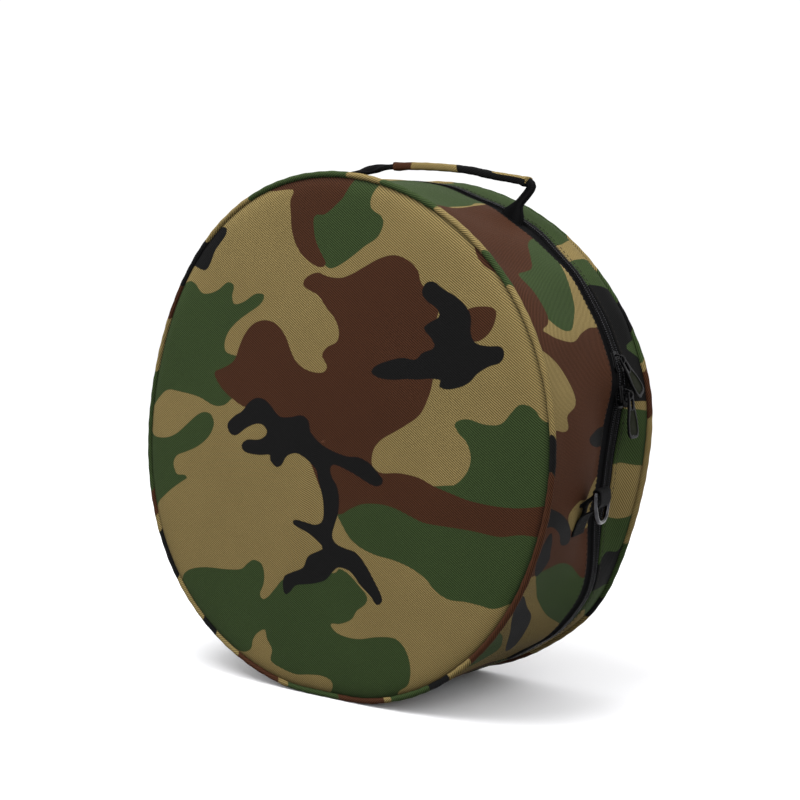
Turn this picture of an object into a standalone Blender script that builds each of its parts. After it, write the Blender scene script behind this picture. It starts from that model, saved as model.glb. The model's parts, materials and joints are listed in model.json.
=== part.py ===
"""A round padded bag for a snare drum: a deep tray, a shallow lid that a two-slider zipper closes,
a webbing handle over the top and a D-ring at each side.

The bag stands on its rim. Its round panels face -Y (the tray's) and +Y (the lid's), and its axis runs
along Y. Every ring is drawn in bag coordinates: a radius from the bag's axis, a depth back from the
front rim, and an angle clockwise from the top, seen from the front. Lengths are in metres.
"""

import math

import bmesh
import bpy
from mathutils import Matrix, Vector

# Driving dimensions of the bag.
RIM_RADIUS = 0.198
DEPTH = 0.140
PANEL_CROWN = 0.005
FLOOR_SAG = 0.0045
FABRIC = 0.0010
FOAM = 0.0050
LINING = 0.0007
SEAM = 0.0003
RING_SEGMENTS = 60

# Piping and the seam tape that binds the raw edges inside.
PIPING_DIAMETER = 0.0046
GUSSET_DROP = 0.0030
BINDING_WIDTH = 0.0070
BINDING_THICKNESS = 0.0020

# Zipper. Its centre line is a circle about the bag's axis, and it ends at the hinge.
ZIP_SETBACK = 0.034
ZIP_WINDOW = 0.019
TAPE = 0.0006
TAPE_HIDDEN = 0.006
FOAM_SETBACK = 0.0085
LINING_SETBACK = 0.0025
COIL_WIDTH = 0.0031
COIL_HEIGHT = 0.0024
COIL_GAP = 0.0016
HINGE_HALF_ANGLE = 28.0
FOLD_GAP = 0.15

# Zipper sliders and their pulls.
SLIDER_LENGTH = 0.016
SLIDER_WIDTH = 0.011
SLIDER_PLATE = 0.0014
SLIDER_CLEARANCE = 0.0008
POST_LENGTH = 0.003
POST_WIDTH = 0.0010
BRIDGE_HALF_LENGTH = 0.0030
BRIDGE_WALL = 0.0014
BRIDGE_HEIGHT = 0.0038
BRIDGE_WIDTH = 0.0024
PULL_LENGTH = 0.034
PULL_WIDTH = 0.012
PULL_THICKNESS = 0.0016
PULL_BAR = 0.0010
PULL_EYE_LENGTH = 0.0058
PULL_EYE_WIDTH = 0.0072
PULL_SLOT_WIDTH = 0.0038
PULL_UPPER_PITCH = 2.0
PULL_LOWER_PITCH = 6.0
SLIDER_UPPER_ANGLE = 71.0
SLIDER_LOWER_ANGLE = 78.5
PULL_UPPER_YAW = 31.0

# Handle: webbing legs sewn into the zipper's front seam, an arch and a fabric sleeve.
HANDLE_ANGLE = 30.0
WEBBING_WIDTH = 0.020
WEBBING = 0.0024
HANDLE_RISE = 0.0195
HANDLE_SPREAD = 0.0185
ARCH_RISE = 0.0165
ARCH_BEND = 1.6
ARCH_HALF_HEIGHT = 0.0020
HANDLE_HINGE_CLEARANCE = 0.0009
SLEEVE_START = -0.009
SLEEVE_END = 0.094
SLEEVE_HEIGHT = 0.0075
SLEEVE_WIDTH = 0.014

# D-rings and the webbing tabs that hold them.
RING_ANGLE = 97.5
RING_SETBACK = 0.042
RING_WIRE = 0.0035
RING_INNER_WIDTH = 0.025
RING_INNER_HEIGHT = 0.020
TAB_WIDTH = 0.024
TAB_LENGTH = 0.033
TAB_THICKNESS = 0.0028
LOOP_WALL = 0.00145
LOOP_CLEARANCE = 0.0004
LOOP_LIFT = 0.0047

# Sizes that follow from the ones above.
CENTRE_HEIGHT = RIM_RADIUS - FLOOR_SAG
SKIN_RADIUS = RIM_RADIUS - GUSSET_DROP
ZIP_DEPTH = DEPTH - ZIP_SETBACK
RING_DEPTH = ZIP_DEPTH - RING_SETBACK
ARCH_TOP = RIM_RADIUS + ARCH_RISE
HANDLE_REACH = SKIN_RADIUS * math.sin(math.radians(HANDLE_ANGLE)) + HANDLE_SPREAD
FABRIC_INNER = SKIN_RADIUS - FABRIC
FOAM_OUTER = FABRIC_INNER - SEAM
FOAM_INNER = FOAM_OUTER - FOAM
LINING_OUTER = FOAM_INNER - SEAM
LINING_INNER = LINING_OUTER - LINING
TAPE_OUTER = FABRIC_INNER - SEAM
TAPE_INNER = TAPE_OUTER - TAPE
COIL_OUTER = TAPE_OUTER + SEAM + COIL_HEIGHT
PANEL_RADIUS = RIM_RADIUS - PIPING_DIAMETER - SEAM
PANEL_SETBACK = 0.0005
PANEL_INNER = PANEL_SETBACK + FABRIC
FOAM_PANEL_INNER = PANEL_INNER + SEAM + FOAM
LINING_PANEL_INNER = FOAM_PANEL_INNER + SEAM + LINING
GUSSET_START = PIPING_DIAMETER + SEAM
LAYER_START = FOAM_PANEL_INNER + SEAM
SEAM_LINE = ZIP_WINDOW / 2
HINGE_START = 180.0 - HINGE_HALF_ANGLE
HINGE_END = 180.0 + HINGE_HALF_ANGLE
CHORD_HEIGHT = -RIM_RADIUS * math.cos(math.radians(HINGE_HALF_ANGLE))
SLIDER_TOP = COIL_OUTER + SLIDER_CLEARANCE + SLIDER_PLATE
PIVOT_RADIUS = SLIDER_TOP + BRIDGE_HEIGHT / 2 + 0.0001
RING_RADIUS = SKIN_RADIUS + SEAM + LOOP_LIFT
HANDLE_DEPTH = ZIP_DEPTH - SEAM_LINE + 0.0005 + WEBBING / 2

for kept in list(bpy.data.objects):
    bpy.data.objects.remove(kept)

bag = bpy.data.collections.new("snare_drum_bag")
tools = bpy.data.collections.new("cutters")
bpy.context.scene.collection.children.link(bag)
bpy.context.scene.collection.children.link(tools)
tools.hide_render = True


def finish(name, colour, roughness, metallic=0.0):
    """A Principled material."""
    material = bpy.data.materials.new(name)
    material.use_nodes = True
    shader = material.node_tree.nodes["Principled BSDF"]
    shader.inputs["Base Color"].default_value = (*colour, 1.0)
    shader.inputs["Roughness"].default_value = roughness
    shader.inputs["Metallic"].default_value = metallic
    return material


CAMOUFLAGE = finish("camouflage_fabric", (0.30, 0.24, 0.11), 0.85)
PIPING = finish("piping_fabric", (0.13, 0.06, 0.04), 0.85)
FOAM_FINISH = finish("foam", (0.55, 0.55, 0.52), 0.95)
LINING_FINISH = finish("lining", (0.02, 0.02, 0.022), 0.8)
BINDING = finish("seam_binding", (0.015, 0.015, 0.017), 0.8)
ZIPPER_TAPE = finish("zipper_tape", (0.012, 0.012, 0.014), 0.85)
ZIPPER_COIL = finish("zipper_coil", (0.015, 0.015, 0.017), 0.4)
SLIDER_METAL = finish("slider_metal", (0.02, 0.02, 0.022), 0.35, 1.0)
RING_METAL = finish("ring_metal", (0.05, 0.05, 0.055), 0.3, 1.0)
WEBBING_FINISH = finish("webbing", (0.013, 0.013, 0.015), 0.8)


def empty(name, location, parent=None):
    """An empty that marks an axis or a joint."""
    mark = bpy.data.objects.new(name, None)
    mark.location = location
    mark.parent = parent
    bag.objects.link(mark)
    return mark


bag_axis = empty("bag_axis", (0.0, -DEPTH / 2, CENTRE_HEIGHT))
lid_hinge = empty("lid_hinge", (0.0, DEPTH + PANEL_CROWN / 10, CHORD_HEIGHT), bag_axis)


def place(name, mesh, material, parent=bag_axis, location=(0.0, 0.0, 0.0)):
    """One visible piece of the bag."""
    piece = bpy.data.objects.new(name, mesh)
    piece.data.materials.clear()
    piece.data.materials.append(material)
    piece.parent = parent
    piece.location = location
    bag.objects.link(piece)
    return piece


def bag_point(angle, radius, depth=0.0):
    """The place at an angle clockwise from the top, a radius and a depth."""
    turn = math.radians(angle)
    return Vector((radius * math.sin(turn), depth, radius * math.cos(turn)))


def settle(mesh):
    """Flatten the lowest arc of every layer by the same sag, as the bag's weight does."""
    for vertex in mesh.verts:
        radius = math.hypot(vertex.co.x, vertex.co.z)
        if vertex.co.z < FLOOR_SAG - radius:
            vertex.co.z = FLOOR_SAG - radius


def close_up(mesh, name):
    """Cap the open ends of a swept shape, point its faces out and return it as a mesh."""
    rims = [edge for edge in mesh.edges if edge.is_boundary]
    if rims:
        bmesh.ops.holes_fill(mesh, edges=rims, sides=0)
    bmesh.ops.recalc_face_normals(mesh, faces=mesh.faces)
    data = bpy.data.meshes.new(name)
    mesh.to_mesh(data)
    mesh.free()
    data.shade_smooth()
    data.set_sharp_from_angle(angle=math.radians(30.0))
    return data


def swept(section, closed):
    """Sweep (radius, depth) points once round the bag's axis, and settle the ring on the floor."""
    mesh = bmesh.new()
    points = [mesh.verts.new(bag_point(0.0, radius, depth)) for radius, depth in section]
    edges = [mesh.edges.new(pair) for pair in zip(points, points[1:])]
    if closed:
        edges.append(mesh.edges.new((points[-1], points[0])))
    bmesh.ops.spin(
        mesh,
        geom=points + edges,
        axis=(0.0, 1.0, 0.0),
        cent=(0.0, 0.0, 0.0),
        angle=math.radians(360.0),
        steps=RING_SEGMENTS,
        use_merge=True,
    )
    bmesh.ops.remove_doubles(mesh, verts=mesh.verts, dist=1e-6)
    settle(mesh)
    return mesh


def keep_arc(mesh, start, end):
    """Cut a ring at two angles and keep what lies clockwise from the first to the second."""
    for angle in (start, end):
        turn = math.radians(angle)
        bmesh.ops.bisect_plane(
            mesh,
            geom=mesh.verts[:] + mesh.edges[:] + mesh.faces[:],
            dist=1e-6,
            plane_co=(0.0, 0.0, 0.0),
            plane_no=(math.cos(turn), 0.0, -math.sin(turn)),
        )
    outside = []
    for face in mesh.faces:
        middle = face.calc_center_median()
        angle = math.degrees(math.atan2(middle.x, middle.z))
        if (angle - start) % 360.0 > end - start:
            outside.append(face)
    bmesh.ops.delete(mesh, geom=outside, context="FACES")


def box_section(inner, outer, near, far):
    """A rectangular section between two radii and two depths."""
    return [(inner, near), (outer, near), (outer, far), (inner, far)]


def from_rear(section):
    """The same section, measured forward from the rear rim."""
    return [(radius, DEPTH - depth) for radius, depth in section]


def ring(name, section, material, arc=None):
    """A ring of one section, or an arc of it between two angles."""
    mesh = swept(section, closed=True)
    if arc:
        keep_arc(mesh, *arc)
    return place(name, close_up(mesh, name), material)


def hang_on_lid(piece):
    """Make a piece turn about the lid's hinge, where it stands."""
    piece.parent = lid_hinge
    piece.location = -lid_hinge.location
    return piece


LID = (HINGE_END - 360.0 + FOLD_GAP, HINGE_START - FOLD_GAP)
FOOT = (HINGE_START + FOLD_GAP, HINGE_END - FOLD_GAP)


def piping_section():
    """An eight-sided cord in its fabric cover, with one flat side outwards so that it can stand."""
    half = PIPING_DIAMETER / 2
    corner = half / math.cos(math.radians(22.5))
    angles = [math.radians(22.5 + 45.0 * side) for side in range(8)]
    return [(RIM_RADIUS - half + corner * math.cos(a), half + corner * math.sin(a)) for a in angles]


def panel_section(radius, face, thickness):
    """Half of a crowned disc: its outer face from the axis to its edge, then its inner face back."""
    stations = [0.0, 0.55, 1.0]
    crown = [PANEL_CROWN * (1.0 - share * share) for share in stations]
    outer = [(radius * share, face - rise) for share, rise in zip(stations, crown)]
    inner = [(radius * share, face + thickness - rise) for share, rise in zip(stations, crown)]
    return outer + inner[::-1]


def panel(name, section, material, keep=None):
    """A round panel, whole, or only its part above or below the lid's fold line."""
    mesh = swept(section, closed=False)
    if keep:
        side = 1.0 if keep == "above" else -1.0
        bmesh.ops.bisect_plane(
            mesh,
            geom=mesh.verts[:] + mesh.edges[:] + mesh.faces[:],
            plane_co=(0.0, 0.0, CHORD_HEIGHT + side * SEAM),
            plane_no=(0.0, 0.0, -side),
            clear_outer=True,
        )
    return place(name, close_up(mesh, name), material)


def layers(setback_to):
    """The (name, section, material) of a gusset's three layers, up to its zipper edge."""
    edge = setback_to - SEAM_LINE
    return [
        ("", box_section(FABRIC_INNER, SKIN_RADIUS, GUSSET_START, edge), CAMOUFLAGE),
        ("_foam", box_section(FOAM_INNER, FOAM_OUTER, LAYER_START, edge - FOAM_SETBACK), FOAM_FINISH),
        ("_lining", box_section(LINING_INNER, LINING_OUTER, LAYER_START, edge - LINING_SETBACK), LINING_FINISH),
    ]


def panel_layers():
    """The (name, section, material) of a panel's three layers."""
    lining_radius = LINING_INNER - SEAM
    return [
        ("", panel_section(PANEL_RADIUS, PANEL_SETBACK, FABRIC), CAMOUFLAGE),
        ("_foam", panel_section(PANEL_RADIUS, PANEL_INNER + SEAM, FOAM), FOAM_FINISH),
        ("_lining", panel_section(lining_radius, FOAM_PANEL_INNER + SEAM, LINING), LINING_FINISH),
    ]


def binding_section():
    """The tape that covers the raw seam in the corner between a panel and its gusset."""
    outer = LINING_INNER - SEAM
    near = LINING_PANEL_INNER + SEAM
    return box_section(outer - BINDING_WIDTH, outer, near, near + BINDING_THICKNESS)


def make_tray():
    """The deep front part and its half of the zipper."""
    for suffix, section, material in panel_layers():
        panel("front_panel" + suffix, section, material)
    for suffix, section, material in layers(ZIP_DEPTH):
        ring("front_gusset" + suffix, section, material)
    ring("front_piping", piping_section(), PIPING)
    ring("front_binding", binding_section(), BINDING)
    edge = ZIP_DEPTH - COIL_GAP / 2
    tape = box_section(TAPE_INNER, TAPE_OUTER, ZIP_DEPTH - SEAM_LINE - TAPE_HIDDEN, edge)
    coil = box_section(TAPE_OUTER + SEAM, COIL_OUTER, edge - COIL_WIDTH, edge)
    ring("zipper_tape_front", tape, ZIPPER_TAPE, LID)
    ring("zipper_coil_front", coil, ZIPPER_COIL, LID)


def make_rear():
    """The shallow rear part: the lid above the fold line, and the foot that stays with the tray."""
    for suffix, section, material in panel_layers():
        rear = from_rear(section)
        hang_on_lid(panel("lid_panel" + suffix, rear, material, keep="above"))
        panel("foot_panel" + suffix, rear, material, keep="below")
    pieces = [("gusset" + suffix, section, material) for suffix, section, material in layers(DEPTH - ZIP_DEPTH)]
    pieces.append(("piping", piping_section(), PIPING))
    pieces.append(("binding", binding_section(), BINDING))
    for suffix, section, material in pieces:
        rear = from_rear(section)
        hang_on_lid(ring("lid_" + suffix, rear, material, LID))
        ring("foot_" + suffix, rear, material, FOOT)
    edge = ZIP_DEPTH + COIL_GAP / 2
    tape = box_section(TAPE_INNER, TAPE_OUTER, edge, ZIP_DEPTH + SEAM_LINE + TAPE_HIDDEN)
    coil = box_section(TAPE_OUTER + SEAM, COIL_OUTER, edge, edge + COIL_WIDTH)
    hang_on_lid(ring("zipper_tape_rear", tape, ZIPPER_TAPE, LID))
    hang_on_lid(ring("zipper_coil_rear", coil, ZIPPER_COIL, LID))
    near = ZIP_DEPTH - SEAM_LINE + SEAM
    far = ZIP_DEPTH + SEAM_LINE - SEAM
    hinge = box_section(TAPE_INNER - FABRIC, SKIN_RADIUS, near, far)
    ring("hinge_panel", hinge, CAMOUFLAGE, FOOT)


def outline_mesh(name, loops, thickness):
    """A flat outline with its holes, in X and Y, as a plate about Z = 0."""
    curve = bpy.data.curves.new(name, "CURVE")
    curve.dimensions = "2D"
    curve.fill_mode = "BOTH"
    curve.extrude = thickness / 2
    for loop in loops:
        spline = curve.splines.new("POLY")
        spline.points.add(len(loop) - 1)
        for point, (x, y) in zip(spline.points, loop):
            point.co = (x, y, 0.0, 1.0)
        spline.use_cyclic_u = True
    guide = bpy.data.objects.new(name, curve)
    tools.objects.link(guide)
    graph = bpy.context.evaluated_depsgraph_get()
    data = bpy.data.meshes.new_from_object(guide.evaluated_get(graph))
    bpy.data.objects.remove(guide)
    mesh = bmesh.new()
    mesh.from_mesh(data)
    bmesh.ops.remove_doubles(mesh, verts=mesh.verts, dist=1e-6)
    bmesh.ops.recalc_face_normals(mesh, faces=mesh.faces)
    mesh.to_mesh(data)
    mesh.free()
    data.name = name
    return data


def upright(data):
    """Turn a plate from X and Y to X and Z, so that its thickness lies along Y."""
    data.transform(Matrix.Rotation(math.radians(90.0), 4, "X"))
    return data


def block(name, size, centre):
    """A helper box."""
    mesh = bmesh.new()
    bmesh.ops.create_cube(mesh, size=1.0)
    bmesh.ops.scale(mesh, vec=size, verts=mesh.verts)
    bmesh.ops.translate(mesh, vec=centre, verts=mesh.verts)
    data = bpy.data.meshes.new(name)
    mesh.to_mesh(data)
    mesh.free()
    helper = bpy.data.objects.new(name, data)
    helper.hide_render = True
    helper.display_type = "WIRE"
    tools.objects.link(helper)
    return helper


def helper_from(name, data):
    """A helper from a mesh, out of the render."""
    helper = bpy.data.objects.new(name, data)
    helper.hide_render = True
    helper.display_type = "WIRE"
    tools.objects.link(helper)
    return helper


def joined(name, base, others):
    """The union of overlapping helpers, as one mesh."""
    for number, other in enumerate(others):
        union = base.modifiers.new("join_{}".format(number), "BOOLEAN")
        union.operation = "UNION"
        union.solver = "EXACT"
        union.object = other
    graph = bpy.context.evaluated_depsgraph_get()
    data = bpy.data.meshes.new_from_object(base.evaluated_get(graph))
    data.name = name
    return data


def slider_mesh():
    """Two plates and the post between them, with a bridge on top, at the bag's top and facing up."""
    plate_height = COIL_OUTER + SLIDER_CLEARANCE + SLIDER_PLATE / 2
    under_height = TAPE_INNER - SLIDER_CLEARANCE - SLIDER_PLATE / 2
    plate = block("slider_plate", (SLIDER_LENGTH, SLIDER_WIDTH, SLIDER_PLATE), (0.0, 0.0, plate_height))
    under = block("slider_under", (SLIDER_LENGTH, SLIDER_WIDTH, SLIDER_PLATE), (0.0, 0.0, under_height))
    post_size = (POST_LENGTH, POST_WIDTH, plate_height - under_height)
    post = block("slider_post", post_size, (0.0, 0.0, (plate_height + under_height) / 2))
    foot = SLIDER_TOP - SLIDER_PLATE / 2
    tunnel = SLIDER_TOP + BRIDGE_HEIGHT
    reach = BRIDGE_HALF_LENGTH + BRIDGE_WALL
    arch = [
        (-reach, foot),
        (-BRIDGE_HALF_LENGTH, foot),
        (-BRIDGE_HALF_LENGTH, tunnel),
        (BRIDGE_HALF_LENGTH, tunnel),
        (BRIDGE_HALF_LENGTH, foot),
        (reach, foot),
        (reach, tunnel + BRIDGE_WALL / 2),
        (BRIDGE_HALF_LENGTH, tunnel + BRIDGE_WALL),
        (-BRIDGE_HALF_LENGTH, tunnel + BRIDGE_WALL),
        (-reach, tunnel + BRIDGE_WALL / 2),
    ]
    bridge = helper_from("slider_bridge", upright(outline_mesh("slider_bridge", [arch], BRIDGE_WIDTH)))
    return joined("slider", plate, [under, post, bridge])


def rounded(half_width, start, end, corner):
    """A rectangle along X with cut corners."""
    return [
        (start, -half_width + corner),
        (start + corner, -half_width),
        (end - corner, -half_width),
        (end, -half_width + corner),
        (end, half_width - corner),
        (end - corner, half_width),
        (start + corner, half_width),
        (start, half_width - corner),
    ]


def pull_mesh():
    """A flat pull: a bar that turns in the bridge, the eye round the bridge, and a slotted tongue."""
    body = rounded(PULL_WIDTH / 2, -PULL_BAR, PULL_LENGTH, 0.0008)
    eye = rounded(PULL_EYE_WIDTH / 2, PULL_BAR, PULL_EYE_LENGTH, 0.0003)
    slot = rounded(PULL_SLOT_WIDTH / 2, PULL_EYE_LENGTH + 0.0045, PULL_LENGTH - 0.0045, 0.0012)
    return outline_mesh("pull", [body, eye, slot], PULL_THICKNESS)


def make_sliders():
    """Two sliders on the zipper, nose to nose, each with its pull."""
    slider_data = slider_mesh()
    pull_data = pull_mesh()
    for name, angle, pitch, yaw in (
        ("upper", SLIDER_UPPER_ANGLE, PULL_UPPER_PITCH, PULL_UPPER_YAW),
        ("lower", SLIDER_LOWER_ANGLE, PULL_LOWER_PITCH, 0.0),
    ):
        slider = place("slider_" + name, slider_data, SLIDER_METAL, location=(0.0, ZIP_DEPTH, 0.0))
        slider.rotation_euler = (0.0, math.radians(angle), 0.0)
        pull = place("pull_" + name, pull_data, SLIDER_METAL, slider, (0.0, 0.0, PIVOT_RADIUS))
        pull.rotation_euler = (0.0, math.radians(pitch), math.radians(yaw))


def arch_height(x):
    """The height of the handle's arch above the bag's axis."""
    return ARCH_TOP - ARCH_BEND * x * x


def arch_points(start, end, steps, offset):
    """Points along the arch, raised or lowered by an offset."""
    places = [start + (end - start) * step / steps for step in range(steps + 1)]
    return [(x, arch_height(x) + offset) for x in places]


def along(start, end, height):
    """The point on the line from start to end at a height."""
    share = (height - start[1]) / (end[1] - start[1])
    return (start[0] + (end[0] - start[0]) * share, height)


def mirrored(points):
    """The same points on the other side of the bag, in the opposite order."""
    return [(-x, z) for x, z in reversed(points)]


def make_handle():
    """Sewn ends on the tray; legs, arch and sleeve that lean forward and back about them."""
    spread = math.degrees(WEBBING_WIDTH / 2 / SKIN_RADIUS)
    base = TAPE_OUTER + SEAM
    inner = bag_point(HANDLE_ANGLE - spread, base).xz
    outer = bag_point(HANDLE_ANGLE + spread, base).xz
    shoulder = arch_height(HANDLE_REACH)
    leg_inner = (HANDLE_REACH - 0.010, shoulder - 0.004)
    leg_outer = (HANDLE_REACH, shoulder - 0.004)
    hinge_height = bag_point(HANDLE_ANGLE, SKIN_RADIUS).z + HANDLE_RISE / 2.7
    top = hinge_height - HANDLE_HINGE_CLEARANCE
    end = [
        tuple(inner),
        tuple(outer),
        along(outer, leg_outer, top),
        along(inner, leg_inner, top),
    ]
    for side, name in ((1.0, "right"), (-1.0, "left")):
        loop = [(side * x, z) for x, z in end]
        mesh = upright(outline_mesh("handle_end_" + name, [loop], WEBBING))
        place("handle_end_" + name, mesh, WEBBING_FINISH, location=(0.0, HANDLE_DEPTH, 0.0))
    bottom = hinge_height + HANDLE_HINGE_CLEARANCE
    corner_in = HANDLE_REACH - 0.014
    corner_out = HANDLE_REACH - 0.003
    right = [
        along(inner, leg_inner, bottom),
        along(outer, leg_outer, bottom),
        leg_outer,
        (corner_out, arch_height(corner_out) + ARCH_HALF_HEIGHT),
    ]
    over = arch_points(corner_in, -corner_in, 12, ARCH_HALF_HEIGHT)
    under = arch_points(-corner_in, corner_in, 12, -ARCH_HALF_HEIGHT)
    loop = right + over + mirrored(right) + [(-leg_inner[0], leg_inner[1])] + under + [leg_inner]
    axis = empty("handle_hinge", (0.0, HANDLE_DEPTH, hinge_height), bag_axis)
    mesh = upright(outline_mesh("handle_webbing", [loop], WEBBING))
    place("handle_webbing", mesh, WEBBING_FINISH, axis, (0.0, 0.0, -hinge_height))
    half = SLEEVE_HEIGHT / 2
    hollow_half = ARCH_HALF_HEIGHT + SEAM
    cover = arch_points(SLEEVE_START, SLEEVE_END, 6, half) + arch_points(SLEEVE_END, SLEEVE_START, 6, -half)
    over_length = 0.004
    hollow = arch_points(SLEEVE_START - over_length, SLEEVE_END + over_length, 8, hollow_half)
    hollow += arch_points(SLEEVE_END + over_length, SLEEVE_START - over_length, 8, -hollow_half)
    cutter = helper_from("sleeve_hollow", upright(outline_mesh("sleeve_hollow", [hollow], WEBBING + 2 * SEAM)))
    cutter.parent = axis
    cutter.location = (0.0, 0.0, -hinge_height)
    mesh = upright(outline_mesh("handle_sleeve", [cover], SLEEVE_WIDTH))
    sleeve = place("handle_sleeve", mesh, CAMOUFLAGE, axis, (0.0, 0.0, -hinge_height))
    edges = sleeve.modifiers.new("soft_edges", "BEVEL")
    edges.width = 0.0022
    edges.segments = 2
    edges.limit_method = "ANGLE"
    edges.angle_limit = math.radians(60.0)
    cut = sleeve.modifiers.new("hollow", "BOOLEAN")
    cut.operation = "DIFFERENCE"
    cut.solver = "EXACT"
    cut.object = cutter


def tab_point(side, along_tab, lift):
    """The place on one side of the bag, at a distance along the tab and a lift off the gusset."""
    radius = SKIN_RADIUS + SEAM + lift
    angle = RING_ANGLE + math.degrees(along_tab / SKIN_RADIUS)
    spot = bag_point(angle, radius)
    return (side * spot.x, spot.z)


def make_tab(side, name):
    """Doubled webbing sewn flat to the gusset, with a loop at its upper end for the ring's bar."""
    bore = RING_WIRE / 2 + LOOP_CLEARANCE
    loop_radius = bore + LOOP_WALL
    steps = 6
    under = [(TAB_LENGTH * (1.0 - step / steps), 0.0) for step in range(steps)]
    under.append((-loop_radius / 2, 0.0008))
    turn = [math.radians(230.0 - 20.0 * step) for step in range(14)]
    bend = [(loop_radius * math.cos(a), LOOP_LIFT + loop_radius * math.sin(a)) for a in turn]
    over = [(TAB_LENGTH * step / steps, TAB_THICKNESS) for step in range(1, steps + 1)]
    outer = [tab_point(side, *spot) for spot in under + bend + over]
    turn = [math.radians(30.0 * step) for step in range(12)]
    hole = [(bore * math.cos(a), LOOP_LIFT + bore * math.sin(a)) for a in turn]
    inner = [tab_point(side, *spot) for spot in hole]
    mesh = upright(outline_mesh("ring_tab_" + name, [outer, inner], TAB_WIDTH))
    place("ring_tab_" + name, mesh, WEBBING_FINISH, location=(0.0, RING_DEPTH, 0.0))


def make_ring(side, name):
    """A D of round wire: a straight bar in the tab's loop, and a bow that hangs below it."""
    half = (RING_INNER_WIDTH + RING_WIRE) / 2
    drop = RING_INNER_HEIGHT + RING_WIRE / 2
    turns = [math.radians(15.0 * step) for step in range(13)]
    bow = [(half * math.cos(a), -drop * math.sin(a) ** 0.8) for a in turns]
    curve = bpy.data.curves.new("d_ring_" + name, "CURVE")
    curve.dimensions = "3D"
    curve.bevel_depth = RING_WIRE / 2
    curve.bevel_resolution = 2
    spline = curve.splines.new("POLY")
    spline.points.add(len(bow) - 1)
    for point, (y, z) in zip(spline.points, bow):
        point.co = (0.0, y, z, 1.0)
    spline.use_cyclic_u = True
    bar = bag_point(RING_ANGLE, RING_RADIUS, RING_DEPTH)
    place("d_ring_" + name, curve, RING_METAL, location=(side * bar.x, bar.y, bar.z))


make_tray()
make_rear()
make_sliders()
make_handle()
for ring_side, ring_name in ((1.0, "right"), (-1.0, "left")):
    make_tab(ring_side, ring_name)
    make_ring(ring_side, ring_name)
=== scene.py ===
"""A round padded drum bag in woodland camouflage cloth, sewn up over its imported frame.

Lengths are in metres unless a name says otherwise. Round the bag an angle is in degrees, clockwise from
the top as seen from the front, and a depth is a place along +Y, from the front rim to the rear one.
"""

from __future__ import annotations

import json
import logging
import math
from dataclasses import dataclass
from enum import Enum
from typing import Any, Callable, Iterable, Optional, Sequence, Union

import bmesh
import bpy
import numpy as np
from mathutils import Matrix, Vector


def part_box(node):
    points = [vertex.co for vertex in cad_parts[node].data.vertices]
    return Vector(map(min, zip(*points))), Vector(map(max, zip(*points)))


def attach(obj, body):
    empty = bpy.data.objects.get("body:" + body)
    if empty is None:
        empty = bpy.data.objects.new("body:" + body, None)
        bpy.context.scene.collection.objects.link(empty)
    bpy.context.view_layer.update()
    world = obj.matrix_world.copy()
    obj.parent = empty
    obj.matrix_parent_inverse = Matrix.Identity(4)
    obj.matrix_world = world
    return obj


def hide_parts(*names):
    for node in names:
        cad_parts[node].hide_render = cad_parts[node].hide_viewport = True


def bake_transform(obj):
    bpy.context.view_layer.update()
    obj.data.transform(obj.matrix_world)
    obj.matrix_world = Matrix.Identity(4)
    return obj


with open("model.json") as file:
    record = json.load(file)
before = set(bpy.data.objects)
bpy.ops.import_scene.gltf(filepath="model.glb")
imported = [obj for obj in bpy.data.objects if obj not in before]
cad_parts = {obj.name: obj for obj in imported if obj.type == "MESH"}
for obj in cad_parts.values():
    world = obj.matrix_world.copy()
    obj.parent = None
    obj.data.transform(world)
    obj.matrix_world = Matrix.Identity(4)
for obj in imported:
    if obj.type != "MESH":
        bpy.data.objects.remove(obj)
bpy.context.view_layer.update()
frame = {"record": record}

CLOTH_MAP = "cloth"
# the layer that carries the painted shade where cloth dives into a seam
PAINTED_SEAM_SHADOW = "painted_seam_shadow"
HINGE_REACH = (0.009, 0.045)
MM = 0.001
INK_REACH = 12.0
WHOLE_TURN = 360.0
LOG = logging.getLogger("drum_bag")

Point = tuple[float, float]
Socket = bpy.types.NodeSocket
Value = Union[float, Socket]


# ---------------------------------------------------------------- small sums


def hump(place: np.ndarray, middle: float, width: float, power: int = 2) -> np.ndarray:
    """Return a smooth bump of height one.

    Args:
        place: Where the bump is read.
        middle: Its centre.
        width: Its half width, at which it has fallen to about a third.
        power: 2 for a bell, and 4 for a flatter top with steeper sides.

    Returns:
        The bump's height at each place.
    """
    return np.exp(-(np.abs((place - middle) / width) ** power))


def ease(place: np.ndarray, start: float, end: float) -> np.ndarray:
    """Return a smooth step from nought at start to one at end.

    Args:
        place: Where the step is read.
        start: Where it leaves nought.
        end: Where it reaches one.

    Returns:
        The step's height at each place.
    """
    share = np.clip((place - start) / (end - start), 0.0, 1.0)
    return share * share * (3.0 - 2.0 * share)


def smooth_loop(points: Sequence[Point], steps: int = 5) -> np.ndarray:
    """Run a closed smooth curve through an outline's points.

    Args:
        points: The outline's own points, in order.
        steps: How many places are read between two points.

    Returns:
        The curve's places, one a row.
    """
    knots = np.array(points, float)
    before, after = np.roll(knots, 1, axis=0), np.roll(knots, -1, axis=0)
    beyond = np.roll(knots, -2, axis=0)
    rows = []
    for step in range(steps):
        t = step / steps
        rows.append(
            0.5 * (2 * knots + (after - before) * t
                   + (2 * before - 5 * knots + 4 * after - beyond) * t ** 2
                   + (3 * knots - before - 3 * after + beyond) * t ** 3)
        )
    return np.stack(rows, axis=1).reshape(-1, 2)


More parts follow.
